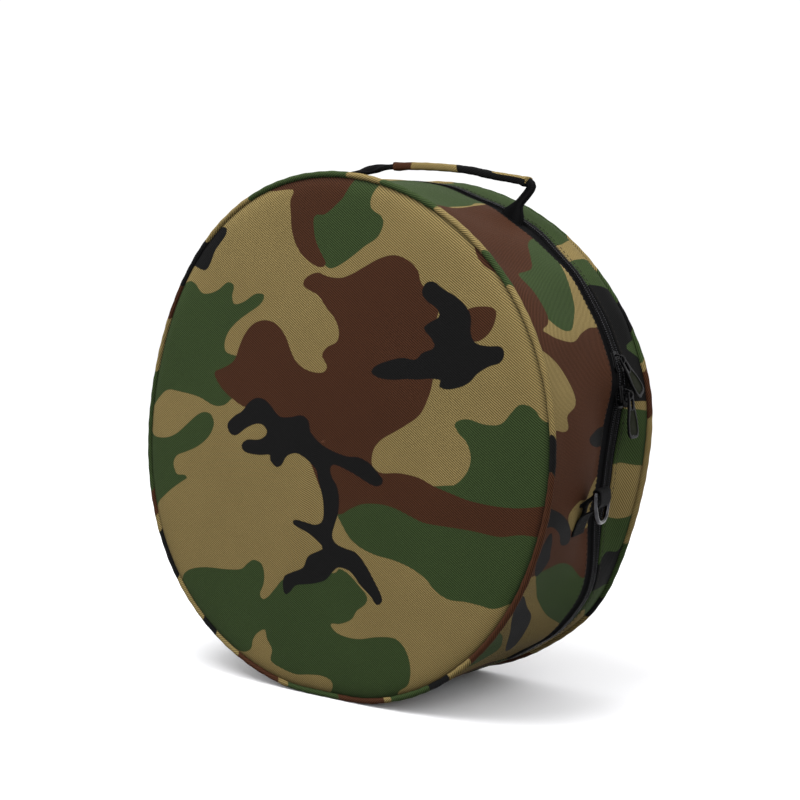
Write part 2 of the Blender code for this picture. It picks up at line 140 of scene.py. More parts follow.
def smooth_run(points: Sequence[Sequence[float]], count: int) -> np.ndarray:
    """Run an open smooth curve through points and space its places evenly.

    Args:
        points: The curve's own points, in order.
        count: How many places are returned.

    Returns:
        The places, one a row.
    """
    knots = np.array(points, float)
    padded = np.vstack([2 * knots[0] - knots[1], knots, 2 * knots[-1] - knots[-2]])
    fine = []
    for a, b, c, d in zip(padded, padded[1:], padded[2:], padded[3:]):
        for t in np.linspace(0.0, 1.0, 24, endpoint=False):
            fine.append(0.5 * (2 * b + (c - a) * t + (2 * a - 5 * b + 4 * c - d) * t ** 2
                               + (3 * b - a - 3 * c + d) * t ** 3))
    fine.append(knots[-1])
    line = np.array(fine)
    along = run_lengths(line)
    places = np.linspace(0.0, along[-1], count)
    return np.stack([np.interp(places, along, line[:, i]) for i in range(line.shape[1])], axis=1)


def unit(rows: np.ndarray) -> np.ndarray:
    """Return each row brought to a length of one."""
    return rows / np.linalg.norm(rows, axis=1)[:, None]


def run_lengths(places: np.ndarray) -> np.ndarray:
    """Return how far along a line of places each of them lies."""
    return np.concatenate([[0.0], np.cumsum(np.linalg.norm(np.diff(places, axis=0), axis=1))])


def cloth_grid(rows: np.ndarray, columns: np.ndarray) -> np.ndarray:
    """Return the place on the cloth of every crossing of rows and columns, with the row's number first."""
    return np.stack(np.meshgrid(rows, columns, indexing="ij"), axis=-1)


def round_turn(count: int) -> np.ndarray:
    """Return a number of even steps round a whole turn, in radians."""
    return np.linspace(0.0, math.tau, count, endpoint=False)


def sections(path: np.ndarray, wide: np.ndarray, deep: np.ndarray,
             outline: tuple[np.ndarray, np.ndarray]) -> np.ndarray:
    """Set a section's outline at every place of a path.

    Args:
        path: The places, one a row.
        wide: The section's first direction at each, as long as its reach that way.
        deep: Its second direction at each, likewise.
        outline: The outline's steps along the two directions, by side.

    Returns:
        The corners, by place, side and axis.
    """
    first, second = outline
    return path[:, None] + first[None, :, None] * wide[:, None] + second[None, :, None] * deep[:, None]


def circle(sides: int) -> tuple[np.ndarray, np.ndarray]:
    """Return the outline of a round section."""
    turn = round_turn(sides)
    return np.cos(turn), np.sin(turn)


def round_bag(count: int) -> np.ndarray:
    """Return a number of even steps round the bag from underneath, in degrees."""
    return np.linspace(-WHOLE_TURN / 2, WHOLE_TURN / 2, count, endpoint=False)


def depth_inside(places: np.ndarray, loop: np.ndarray, reach: float) -> np.ndarray:
    """Measure how deep places lie inside a closed outline.

    Args:
        places: The places, one a row.
        loop: The outline's corners, one a row.
        reach: How far outside the outline the distance still matters.

    Returns:
        The distance to the outline, positive inside it and at least -reach outside.
    """
    result = np.full(len(places), -reach)
    low, high = loop.min(axis=0) - reach, loop.max(axis=0) + reach
    near = np.flatnonzero(((places > low) & (places < high)).all(axis=1))
    spots = places[near]
    nearest = np.full(len(spots), np.inf)
    inside = np.zeros(len(spots), bool)
    for start, end in zip(loop, np.roll(loop, -1, axis=0)):
        side, away = end - start, spots - start
        share = np.clip(away @ side / max(side @ side, 1e-12), 0.0, 1.0)
        gap = away - share[:, None] * side
        nearest = np.minimum(nearest, (gap ** 2).sum(axis=1))
        crosses = (start[1] > spots[:, 1]) != (end[1] > spots[:, 1])
        if crosses.any():
            at = start[0] + (spots[:, 1] - start[1]) / (end[1] - start[1] or 1e-12) * side[0]
            inside ^= crosses & (spots[:, 0] < at)
    result[near] = np.where(inside, 1.0, -1.0) * np.sqrt(nearest)
    return np.maximum(result, -reach)


# ---------------------------------------------------------------- the print


class Ink(Enum):
    """The colours that the cloth is printed with, in the order that they are laid on."""

    GREEN = "green"
    BROWN = "brown"
    BLACK = "black"


@dataclass(frozen=True)
class Patch:
    """One printed patch: its ink and the outline that it fills, in millimetres on the cloth."""

    ink: Ink
    outline: tuple[Point, ...]

    def moved(self, right: float = 0.0, up: float = 0.0, turn: float = 0.0, flip: bool = False,
              size: float = 1.0) -> "Patch":
        """Return this patch at another place on the cloth.

        Args:
            right: How far it moves along the first direction, in millimetres.
            up: How far it moves along the second, in millimetres.
            turn: How far it turns first, in degrees.
            flip: Whether it is mirrored before it turns.
            size: How much larger it becomes.

        Returns:
            The moved patch.
        """
        c, s = math.cos(math.radians(turn)), math.sin(math.radians(turn))
        side = -1.0 if flip else 1.0
        return Patch(self.ink, tuple(
            (right + size * (c * side * x - s * y), up + size * (s * side * x + c * y))
            for x, y in self.outline
        ))


FRONT_PRINT: tuple[Patch, ...] = (
    Patch(Ink.GREEN, (
        (-12, 160), (-10, 172), (-2, 180), (10, 190), (22, 205), (52, 200), (43, 181), (43, 172),
        (52, 166), (54, 160), (49, 151), (38, 145), (27, 138), (16, 132), (6, 129), (-2, 134),
        (-12, 146))),
    Patch(Ink.GREEN, (
        (-168, 103), (-158, 112), (-150, 117), (-140, 120), (-133, 117), (-127, 111), (-119, 110),
        (-108, 113), (-98, 119), (-91, 116), (-93, 108), (-90, 102), (-80, 104), (-68, 110),
        (-59, 109), (-63, 102), (-76, 95), (-88, 88), (-97, 80), (-101, 71), (-98, 64), (-80, 58),
        (-78, 36), (-92, 29), (-101, 23), (-113, 22), (-130, 28), (-150, 31), (-166, 32),
        (-177, 25), (-186, 17), (-196, 10), (-206, 60))),
    Patch(Ink.GREEN, (
        (-113, 9), (-117, 15), (-125, 16), (-134, 12), (-144, 5), (-156, -3), (-168, -7),
        (-182, -7), (-196, -2), (-205, -40), (-190, -68), (-177, -59), (-163, -49), (-151, -42),
        (-144, -38), (-148, -36), (-156, -36), (-160, -28), (-156, -21), (-145, -17),
        (-132, -12), (-121, -5), (-115, 2))),
    Patch(Ink.GREEN, (
        (109, -24), (119, -22), (128, -13), (131, -3), (128, 7), (120, 15), (118, 21), (128, 24),
        (142, 21), (155, 22), (163, 30), (170, 36), (180, 34), (188, 25), (205, 20), (208, -60),
        (185, -92), (166, -100), (150, -107), (138, -106), (126, -105), (112, -105), (101, -100),
        (92, -92), (80, -86), (65, -82), (49, -80), (35, -76), (25, -70), (18, -61), (13, -52),
        (14, -38), (60, -30))),
    Patch(Ink.GREEN, (
        (-180, -140), (-158, -126), (-150, -117), (-140, -112), (-124, -109), (-102, -108),
        (-86, -106), (-79, -101), (-72, -97), (-64, -99), (-61, -106), (-62, -115), (-66, -123),
        (-63, -127), (-57, -124), (-49, -116), (-40, -108), (-14, -98), (9, -98), (14, -94),
        (23, -97), (32, -104), (40, -112), (38, -118), (30, -124), (25, -131), (14, -136),
        (5, -137), (8, -142), (18, -145), (32, -145), (49, -141), (65, -140), (74, -147),
        (78, -160), (75, -173), (64, -182), (55, -205), (-16, -206), (2, -190), (4, -182),
        (-5, -179), (-18, -180), (-32, -182), (-48, -179), (-57, -175), (-55, -166), (-60, -158),
        (-62, -151), (-70, -155), (-75, -161), (-78, -169), (-88, -173), (-104, -171),
        (-130, -168))),
    Patch(Ink.BROWN, (
        (-32, 188), (-34, 180), (-33, 169), (-32, 159), (-28, 148), (-21, 139), (-12, 133),
        (-4, 130), (2, 132), (-2, 139), (-7, 147), (-10, 156), (-10, 168), (0, 169), (11, 176),
        (19, 184), (24, 204), (-40, 210), (-72, 192), (-55, 188))),
    Patch(Ink.BROWN, (
        (-20, 118), (-16, 123), (-6, 126), (4, 123), (16, 122), (27, 125), (38, 130), (52, 136),
        (65, 138), (77, 134), (85, 127), (89, 117), (104, 106), (101, 90), (101, 72), (99, 50),
        (95, 37), (88, 25), (76, 17), (65, 11), (54, 5), (47, -3), (46, -14), (54, -19),
        (70, -18), (87, -20), (100, -25), (114, -29), (130, -33), (149, -35), (168, -35),
        (206, -32), (205, -54), (173, -53), (154, -56), (133, -54), (111, -53), (92, -52),
        (79, -48), (67, -44), (54, -42), (38, -43), (27, -47), (13, -53), (0, -40), (-20, -4),
        (-50, 20), (-75, 22), (-84, 24), (-97, 31), (-107, 39), (-112, 48), (-105, 51),
        (-95, 55), (-89, 60), (-85, 69), (-79, 79), (-70, 87), (-58, 90), (-46, 87), (-37, 78),
        (-32, 68), (-27, 60), (-20, 55), (-10, 52), (0, 52), (4, 56), (2, 60), (-1, 65),
        (4, 71), (13, 75), (15, 83), (11, 92), (3, 100), (-5, 109), (-16, 114))),
    Patch(Ink.BROWN, (
        (130, 101), (144, 102), (150, 99), (149, 91), (144, 83), (135, 78), (124, 80),
        (122, 95))),
    Patch(Ink.BROWN, (
        (134, 162), (141, 160), (147, 150), (154, 138), (160, 126), (154, 124), (144, 127),
        (135, 134), (130, 144), (129, 154))),
    Patch(Ink.BLACK, (
        (-98, 8), (-90, 15), (-82, 19), (-75, 26), (-67, 30), (-58, 29), (-50, 23), (-43, 17),
        (-32, 17), (-21, 19), (-14, 15), (-12, 7), (-4, 0), (6, -5), (22, -9), (33, -9),
        (42, -12), (50, -18), (56, -25), (51, -29), (44, -28), (35, -24), (25, -20), (11, -16),
        (7, -19), (8, -25), (13, -32), (15, -41), (14, -52), (11, -60), (8, -69), (11, -75),
        (20, -78), (30, -80), (38, -87), (46, -98), (54, -112), (49, -117), (43, -111),
        (33, -103), (25, -95), (14, -93), (8, -97), (1, -104), (-10, -108), (-20, -110),
        (-29, -112), (-35, -118), (-40, -120), (-42, -113), (-40, -106), (-32, -102),
        (-21, -97), (-16, -88), (-6, -83), (-1, -80), (-5, -76), (-13, -71), (-24, -67),
        (-31, -64), (-28, -61), (-18, -62), (-8, -63), (-1, -59), (0, -47), (-2, -37),
        (-5, -28), (-7, -21), (-16, -14), (-26, -10), (-36, -13), (-41, -20), (-47, -22),
        (-53, -17), (-53, -13), (-64, -14), (-78, -13), (-83, -8), (-77, -3), (-64, -2),
        (-56, 3), (-59, 9), (-67, 10), (-78, 6), (-88, 0), (-95, 1))),
    Patch(Ink.BLACK, (
        (89, 111), (92, 118), (99, 119), (107, 114), (117, 109), (125, 103), (130, 95), (130, 84),
        (134, 77), (144, 75), (154, 75), (157, 70), (154, 64), (145, 61), (136, 56), (130, 50),
        (122, 46), (111, 44), (104, 46), (106, 50), (97, 51), (86, 50), (76, 50), (65, 49),
        (52, 50), (45, 54), (50, 59), (62, 63), (73, 65), (84, 64), (90, 69), (100, 73),
        (97, 80), (91, 86), (95, 90), (104, 95), (101, 101), (94, 105))),
    Patch(Ink.BLACK, (
        (-101, 161), (-108, 162), (-117, 159), (-133, 156), (-148, 144), (-150, 130),
        (-143, 130), (-137, 132), (-127, 129), (-121, 129), (-116, 136), (-112, 144),
        (-104, 152), (-100, 157))),
)

# Round the band: along is degrees clockwise from the top, and up is millimetres back from the front rim.
BAND_PRINT: tuple[Patch, ...] = (
    Patch(Ink.GREEN, (
        (9, -20), (27, -20), (31, 8), (28, 22), (26, 60), (24, 84), (23, 160), (2, 160), (5, 70),
        (8, 30))),
    Patch(Ink.GREEN, (
        (49, 29), (55, 22), (60, 28), (63, 40), (63.5, 54), (61, 66), (58.5, 75), (56, 80),
        (52, 85), (47, 92), (41, 98), (36, 94), (38, 74), (44, 58))),
    Patch(Ink.GREEN, (
        (22, 100), (40, 100), (37, 150), (19, 150))),
    Patch(Ink.GREEN, (
        (46, 112), (54, 108), (60, 116), (57, 126), (56, 150), (48.5, 150))),
    Patch(Ink.GREEN, (
        (62, 116), (74, 116), (74, 150), (62, 150))),
    Patch(Ink.GREEN, (
        (81, 104), (81.2, 115), (81.8, 129), (84, 150), (93.5, 150), (94.2, 133), (93.5, 118),
        (93, 104))),
    Patch(Ink.GREEN, (
        (108, 100), (107, 123), (106, 134), (104, 150), (135, 150), (132, 130), (129, 117),
        (128, 100))),
    Patch(Ink.GREEN, (
        (112, 14), (116, 18), (119, 27), (122, 36), (124.2, 45), (127, 58), (129.5, 73), (133, 100),
        (135, 112), (118, 112), (112, 90), (110, 50))),
    Patch(Ink.GREEN, (
        (127, -14), (138, -14), (143, 10), (139, 36), (134, 28), (130, 10))),
    Patch(Ink.BROWN, (
        (29, -14), (62, -14), (63, 12), (61, 30), (55, 30), (50, 26), (49, 38), (48, 50),
        (44, 62), (41, 72), (39, 86), (38, 102), (23, 102), (24, 96), (26, 66), (28, 30))),
    Patch(Ink.BROWN, (
        (65, -10), (67, 6), (71, 26), (76, 37), (79, 37), (81, 24), (84, 23), (86, -12),
        (115.5, -14), (115, 10), (114.2, 30), (113.8, 48), (116, 70), (120, 94), (116, 102),
        (112.8, 98), (110, 106), (109, 92), (108.2, 75), (107.2, 57), (105, 41), (101.8, 34),
        (99.5, 49), (100, 68), (97.5, 86), (94, 102), (92, 105), (66, 105), (63, 90), (64, 70),
        (66, 52), (65, 30), (63, 12))),
    Patch(Ink.BLACK, (
        (84.6, 84), (85.8, 60), (87.0, 56), (88.2, 66), (89, 90), (87.5, 100), (84.8, 98))),
    Patch(Ink.BLACK, (
        (99.5, 4), (99.8, 11), (101.2, 23), (103.8, 37), (107.2, 48), (109, 49), (109.2, 41),
        (108.3, 34), (105.8, 27), (103.6, 14), (103.4, 4))),
    Patch(Ink.BLACK, (
        (104.9, 14), (107, 20), (109.8, 24), (111.8, 27), (114.5, 22), (115.2, 15), (112, 9),
        (108, 9))),
    Patch(Ink.BLACK, (
        (121, 6), (127, 16), (132, 30), (138, 46), (141, 60), (136, 56), (128, 44), (124, 28),
        (120, 12))),
    Patch(Ink.BLACK, (
        (53, 110), (58, 106), (68, 105), (79, 104), (79.3, 113), (79.9, 128), (79.5, 150),
        (71.2, 150), (71, 138), (68.2, 122), (66.5, 135), (65.3, 150), (59, 150), (54, 128))),
    Patch(Ink.BLACK, (
        (111.5, 150), (112.8, 137), (114.8, 131), (115, 119), (118, 112), (121, 104), (125, 104),
        (123.8, 111), (123, 127), (122.8, 150))),
)


def write_layer(piece: bpy.types.Object, name: str, values: np.ndarray) -> None:
    """Write one number on each point of a piece, for its material to read.

    Args:
        piece: The piece.
        name: The layer's name.
        values: The numbers, in the points' order.
    """
    layer = piece.data.attributes.new(name, "FLOAT", "POINT")
    layer.data.foreach_set("value", values.astype(np.float32).ravel())


def paint_seam_shadow(piece: bpy.types.Object, away: np.ndarray, width: float, strength: float) -> None:
    """Paint shade on cloth where it dives into a seam, standing in for the groove's shadow.

    Args:
        piece: The cloth.
        away: How far each of its points lies from the seam, in metres.
        width: How far the shade reaches.
        strength: How dark it is at the seam, from 0 to 1.
    """
    write_layer(piece, PAINTED_SEAM_SHADOW, strength * hump(away, 0.0, width))


@dataclass(frozen=True)
class Camouflage:
    """A run of printed cloth: its patches, and how far round the second pattern repeats if at all."""

    patches: tuple[Patch, ...]
    repeat: float = 0.0
    reach: float = INK_REACH

    def print_on(self, piece: bpy.types.Object, places: np.ndarray) -> None:
        """Write how deep each point of a piece lies in each ink.

        Args:
            piece: The cloth.
            places: Each of its points on the print, in millimetres.
        """
        for ink in Ink:
            depth = np.full(len(places), -self.reach)
            for patch in (p for p in self.patches if p.ink is ink):
                loop = smooth_loop(patch.outline)
                spots = places.copy()
                if self.repeat:
                    middle = (loop[:, 0].min() + loop[:, 0].max()) / 2
                    spots[:, 0] = (spots[:, 0] - middle + self.repeat / 2) % self.repeat
                    spots[:, 0] += middle - self.repeat / 2
                depth = np.maximum(depth, depth_inside(spots, loop, self.reach))
            write_layer(piece, ink.value, depth)


# ---------------------------------------------------------------- finishes


def dye(red: int, green: int, blue: int) -> tuple[float, float, float, float]:
    """Turn a colour named in 0 to 255 steps into the linear light that a shader takes.

    Args:
        red: The red step.
        green: The green step.
        blue: The blue step.

    Returns:
        The linear colour, with full cover.
    """
    parts = [c / 255 for c in (red, green, blue)]
    linear = [c / 12.92 if c <= 0.04045 else ((c + 0.055) / 1.055) ** 2.4 for c in parts]
    return (linear[0], linear[1], linear[2], 1.0)


class Recipe:
    """A material's nodes, put together one named step at a time."""

    def __init__(self, name: str) -> None:
        """Start an empty material with a shader and an output.

        Args:
            name: The material's name.
        """
        self.material = bpy.data.materials.new(name)
        self.material.use_nodes = True
        self.tree = self.material.node_tree
        self.tree.nodes.clear()
        self.shader = self.tree.nodes.new("ShaderNodeBsdfPrincipled")
        output = self.tree.nodes.new("ShaderNodeOutputMaterial")
        self.tree.links.new(self.shader.outputs[0], output.inputs[0])

    def plug(self, value: Any, socket: Socket) -> None:
        """Feed a socket from another one, or set it.

        Args:
            value: A socket, or a plain value.
            socket: The socket that takes it.
        """
        if isinstance(value, bpy.types.NodeSocket):
            self.tree.links.new(value, socket)
        else:
            socket.default_value = value

    def feed(self, **values: Any) -> None:
        """Set the shader's sockets by name, with spaces written as underscores."""
        for name, value in values.items():
            self.plug(value, self.shader.inputs[name.replace("_", " ")])

    def cloth_place(self) -> Socket:
        """Return the place on the flat cloth, in metres."""
        node = self.tree.nodes.new("ShaderNodeUVMap")
        node.uv_map = CLOTH_MAP
        return node.outputs["UV"]

    def solid_place(self) -> Socket:
        """Return the place in the object's own space, in metres."""
        return self.tree.nodes.new("ShaderNodeTexCoord").outputs["Object"]

    def layer(self, name: str) -> Socket:
        """Return a number that the mesh carries at each point."""
        node = self.tree.nodes.new("ShaderNodeAttribute")
        node.attribute_name = name
        return node.outputs["Fac"]

    def apart(self, vector: Socket) -> tuple[Socket, Socket, Socket]:
        """Split a place into its three numbers."""
        node = self.tree.nodes.new("ShaderNodeSeparateXYZ")
        self.plug(vector, node.inputs[0])
        return node.outputs[0], node.outputs[1], node.outputs[2]

    def sum(self, operation: str, first: Value, second: Value = 0.0, third: Value = 0.0) -> Socket:
        """Work out one step of arithmetic.

        Args:
            operation: Blender's name of the step.
            first: Its first number.
            second: Its second, where it takes one.
            third: Its third, where it takes one.

        Returns:
            The result.
        """
        node = self.tree.nodes.new("ShaderNodeMath")
        node.operation = operation
        for value, socket in zip((first, second, third), node.inputs):
            self.plug(value, socket)
        return node.outputs[0]

    def wave(self, place: Value, pitch: float) -> Socket:
        """Return a wave from 0 to 1 along a number, with the given pitch."""
        turn = self.sum("MULTIPLY", place, math.tau / pitch)
        return self.sum("MULTIPLY_ADD", self.sum("SINE", turn), 0.5, 0.5)

    def noise(self, vector: Socket, scale: float, detail: float = 2.0, rough: float = 0.5) -> Socket:
        """Return cloudy noise from 0 to 1.

        Args:
            vector: Where it is read.
            scale: How many clouds lie along a metre.
            detail: How many finer layers it has.
            rough: How strong the finer layers are.

        Returns:
            The noise.
        """
        node = self.tree.nodes.new("ShaderNodeTexNoise")
        self.plug(vector, node.inputs["Vector"])
        self.plug(scale, node.inputs["Scale"])
        self.plug(detail, node.inputs["Detail"])
        self.plug(rough, node.inputs["Roughness"])
        return node.outputs["Fac"]

    def cells(self, vector: Socket, scale: float) -> Socket:
        """Return the distance to the nearest cell's middle, for foam and cast grain."""
        node = self.tree.nodes.new("ShaderNodeTexVoronoi")
        self.plug(vector, node.inputs["Vector"])
        self.plug(scale, node.inputs["Scale"])
        return node.outputs["Distance"]

    def spread(self, value: Value, low: float, high: float, to_low: float, to_high: float) -> Socket:
        """Map a number from one range to another and hold it there.

        Args:
            value: The number.
            low: The range's start.
            high: The range's end.
            to_low: What the start becomes.
            to_high: What the end becomes.

        Returns:
            The mapped number.
        """
        node = self.tree.nodes.new("ShaderNodeMapRange")
        for given, socket in zip((value, low, high, to_low, to_high), node.inputs):
            self.plug(given, socket)
        return node.outputs[0]

    def mix(self, share: Value, first: Any, second: Any, blend: str = "MIX") -> Socket:
        """Mix two colours.

        Args:
            share: How much of the second shows.
            first: The colour underneath.
            second: The colour on top.
            blend: Blender's name of the way they mix.

        Returns:
            The mixed colour.
        """
        node = self.tree.nodes.new("ShaderNodeMix")
        node.data_type, node.blend_type = "RGBA", blend
        self.plug(share, node.inputs["Factor"])
        self.plug(first, node.inputs[6])
        self.plug(second, node.inputs[7])
        return node.outputs[2]

    def shade(self, colour: Any, amount: Socket) -> Socket:
        """Darken or lighten a colour by a number around one."""
        node = self.tree.nodes.new("ShaderNodeVectorMath")
        node.operation = "SCALE"
        self.plug(colour[:3] if isinstance(colour, tuple) else colour, node.inputs[0])
        self.plug(amount, node.inputs["Scale"])
        return node.outputs[0]

    def bump(self, height: Socket, strength: float, distance: float) -> None:
        """Raise the surface by a height map.

        Args:
            height: The map, from 0 to 1.
            strength: How much of it is used.
            distance: How tall 1 stands.
        """
        node = self.tree.nodes.new("ShaderNodeBump")
        node.inputs["Strength"].default_value = strength
        node.inputs["Distance"].default_value = distance
        self.plug(height, node.inputs["Height"])
        self.plug(node.outputs[0], self.shader.inputs["Normal"])


@dataclass(frozen=True)
class CamouflageTwill:
    """Printed polyester twill: four inks over diagonal ribs, with painted shade in the gaps between the yarns
    and painted light on the ribs.
    """

    name: str = "camouflage_twill"
    tan: tuple[int, int, int] = (138, 120, 76)
    green: tuple[int, int, int] = (54, 70, 38)
    brown: tuple[int, int, int] = (70, 41, 25)
    black: tuple[int, int, int] = (12, 12, 12)
    rib_pitch: float = 0.00145
    rib_slope: float = 36.0
    yarn_pitch: float = 0.0009
    # how dark the painted shade in the gaps between the yarns is
    painted_gap_shade: float = 0.16

    def make(self) -> bpy.types.Material:
        """Return the material."""
        recipe = Recipe(self.name)
        place = recipe.cloth_place()
        across, along, _ = recipe.apart(place)
        slope = math.radians(self.rib_slope)
        tilted = recipe.sum("ADD", recipe.sum("MULTIPLY", across, math.sin(slope)),
                            recipe.sum("MULTIPLY", along, math.cos(slope)))
        wander = recipe.sum("MULTIPLY", recipe.noise(place, 90.0), 0.0006)
        rib = recipe.wave(recipe.sum("ADD", tilted, wander), self.rib_pitch)
        yarn = recipe.wave(recipe.sum("MULTIPLY_ADD", tilted, 0.5, across), self.yarn_pitch)
        fluff = recipe.noise(place, 1500.0, 2.0, 0.6)
        relief = recipe.sum("MULTIPLY_ADD", yarn, 0.3, recipe.sum("MULTIPLY", rib, 0.7))
        ragged = recipe.sum("MULTIPLY_ADD", relief, 0.25, recipe.sum("MULTIPLY", fluff, 0.5))
        colour: Any = dye(*self.tan)
        for ink, tint in ((Ink.GREEN, self.green), (Ink.BROWN, self.brown), (Ink.BLACK, self.black)):
            depth = recipe.sum("ADD", recipe.layer(ink.value), recipe.sum("SUBTRACT", ragged, 0.37))
            colour = recipe.mix(recipe.spread(depth, -0.22, 0.22, 0.0, 1.0), colour, dye(*tint))
        # painted shade and light from the weave's relief: darker in the gaps between yarns, lighter on the
        # ribs' crests
        weave = recipe.spread(relief, 0.10, 0.80, self.painted_gap_shade, 1.22)
        fade = recipe.spread(recipe.noise(place, 14.0, 3.0, 0.55), 0.25, 0.75, 0.93, 1.06)
        grain = recipe.spread(fluff, 0.25, 0.75, 0.74, 1.26)
        tone = recipe.sum("MULTIPLY", recipe.sum("MULTIPLY", weave, fade), grain)
        # painted shade: darker where the cloth dives into a seam, standing in for the groove's shadow
        tone = recipe.sum("MULTIPLY", tone, recipe.sum("SUBTRACT", 1.0, recipe.layer(PAINTED_SEAM_SHADOW)))
        recipe.feed(Base_Color=recipe.shade(colour, tone),
                    Roughness=recipe.spread(relief, 0.0, 1.0, 0.92, 0.7),
                    Specular_IOR_Level=0.09, Sheen_Weight=0.0, Sheen_Roughness=0.5)
        recipe.bump(recipe.sum("MULTIPLY_ADD", fluff, 0.3, relief), 0.55, 0.00025)
        return recipe.material


@dataclass(frozen=True)
class RibbedTape:
    """Woven black tape or webbing: fine ribs along it, crossed by the weft."""

    name: str
    colour: tuple[int, int, int] = (8, 8, 9)
    rib_pitch: float = 0.0011
    weft_pitch: float = 0.0008
    height: float = 0.0003
    roughness: float = 0.72

    def make(self) -> bpy.types.Material:
        """Return the material."""
        recipe = Recipe(self.name)
        place = recipe.cloth_place()
        along, across, _ = recipe.apart(place)
        rib = recipe.wave(across, self.rib_pitch)
        lean = recipe.sum("MULTIPLY_ADD", recipe.sum("ABSOLUTE", recipe.sum("SUBTRACT", rib, 0.5)),
                          self.weft_pitch, along)
        weft = recipe.wave(lean, self.weft_pitch)
        relief = recipe.sum("MULTIPLY_ADD", weft, 0.45, recipe.sum("MULTIPLY", rib, 0.55))
        fluff = recipe.noise(place, 1100.0, 3.0, 0.6)
        # painted shade and light from the weave's relief: darker between the ribs and weft, lighter on their
        # crests
        tone = recipe.sum("MULTIPLY", recipe.spread(relief, 0.1, 0.9, 0.45, 1.5),
                          recipe.spread(fluff, 0.2, 0.8, 0.8, 1.25))
        recipe.feed(Base_Color=recipe.shade(dye(*self.colour), tone),
                    Roughness=recipe.spread(fluff, 0.2, 0.8, self.roughness - 0.08, self.roughness + 0.1),
                    Specular_IOR_Level=0.04)
        recipe.bump(recipe.sum("MULTIPLY_ADD", fluff, 0.25, relief), 0.7, self.height)
        return recipe.material


@dataclass(frozen=True)
class PlainWeave:
    """Thin plain-woven lining: over-and-under threads with a soft sheen and a few rubbed patches."""

    name: str
    colour: tuple[int, int, int] = (22, 22, 25)
    pitch: float = 0.0008
    sheen: float = 0.05

    def make(self) -> bpy.types.Material:
        """Return the material."""
        recipe = Recipe(self.name)
        place = recipe.cloth_place()
        along, across, _ = recipe.apart(place)
        warp, weft = recipe.wave(along, self.pitch), recipe.wave(across, self.pitch)
        relief = recipe.sum("ABSOLUTE", recipe.sum("SUBTRACT", warp, weft))
        rubbed = recipe.spread(recipe.noise(place, 22.0, 4.0, 0.6), 0.35, 0.7, 0.85, 1.2)
        # painted shade and light from the weave's relief; the rubbed patches are wear
        tone = recipe.sum("MULTIPLY", recipe.spread(relief, 0.0, 0.8, 0.7, 1.15), rubbed)
        recipe.feed(Base_Color=recipe.shade(dye(*self.colour), tone),
                    Roughness=recipe.spread(rubbed, 0.85, 1.2, 0.65, 0.5),
                    Sheen_Weight=self.sheen, Sheen_Roughness=0.35)
        recipe.bump(relief, 0.5, 0.0002)
        return recipe.material


@dataclass(frozen=True)
class FoamSheet:
    """Closed-cell foam: a pale grey sheet with fine cells and a few larger ones."""

    name: str = "foam_sheet"
    colour: tuple[int, int, int] = (92, 92, 96)

    def make(self) -> bpy.types.Material:
        """Return the material."""
        recipe = Recipe(self.name)
        place = recipe.solid_place()
        cells = recipe.cells(place, 700.0)
        large = recipe.cells(place, 210.0)
        # painted shade: darker in the cells' hollows, lighter on their walls
        tone = recipe.sum("MULTIPLY", recipe.spread(cells, 0.0, 0.7, 0.75, 1.1),
                          recipe.spread(large, 0.0, 0.6, 0.9, 1.05))
        recipe.feed(Base_Color=recipe.shade(dye(*self.colour), tone), Roughness=0.95)
        recipe.bump(cells, 0.4, 0.0004)
        return recipe.material


@dataclass(frozen=True)
class CastMetal:
    """Die-cast or bent metal: a soft grain, fine rubbed marks and a thin lacquer."""

    name: str
    colour: tuple[int, int, int]
    metal: float
    roughness: float
    lacquer: float = 0.0
    shine: float = 0.5

    def make(self) -> bpy.types.Material:
        """Return the material."""
        recipe = Recipe(self.name)
        place = recipe.solid_place()
        stain = recipe.noise(place, 160.0, 4.0, 0.6)
        grain = recipe.noise(place, 2600.0, 2.0, 0.6)
        tone = recipe.spread(stain, 0.3, 0.7, 0.8, 1.25)
        recipe.feed(Base_Color=recipe.shade(dye(*self.colour), tone), Metallic=self.metal,
                    Roughness=recipe.spread(stain, 0.3, 0.7, self.roughness + 0.1, self.roughness - 0.06),
                    Coat_Weight=self.lacquer, Coat_Roughness=0.15, Specular_IOR_Level=self.shine)
        recipe.bump(grain, 0.25, 0.0001)
        return recipe.material


@dataclass(frozen=True)
class MouldedCoil:
    """Nylon filament of a zipper coil: dark, slightly glossy, with faint drawn lines."""

    name: str = "coil_filament"
    colour: tuple[int, int, int] = (5, 5, 6)

    def make(self) -> bpy.types.Material:
        """Return the material."""
        recipe = Recipe(self.name)
        place = recipe.solid_place()
        drawn = recipe.noise(place, 900.0, 2.0, 0.5)
        recipe.feed(Base_Color=recipe.shade(dye(*self.colour), recipe.spread(drawn, 0.2, 0.8, 0.7, 1.5)),
                    Roughness=recipe.spread(drawn, 0.2, 0.8, 0.30, 0.18), Specular_IOR_Level=0.07)
        recipe.bump(drawn, 0.2, 0.0001)
        return recipe.material


@dataclass(frozen=True)
class SewingThread:
    """Twisted polyester thread: a steep twist in its surface, with painted shade and light along the twist.
    """

    name: str = "sewing_thread"
    colour: tuple[int, int, int] = (26, 21, 15)

    def make(self) -> bpy.types.Material:
        """Return the material."""
        recipe = Recipe(self.name)
        along, around, height = recipe.apart(recipe.solid_place())
        twist = recipe.wave(recipe.sum("ADD", recipe.sum("ADD", along, around), height), 0.0006)
        # painted shade and light along the twist's grooves and crests
        recipe.feed(Base_Color=recipe.shade(dye(*self.colour), recipe.spread(twist, 0.0, 1.0, 0.6, 1.3)),
                    Roughness=0.6, Specular_IOR_Level=0.15)
        recipe.bump(twist, 0.4, 0.0001)
        return recipe.material


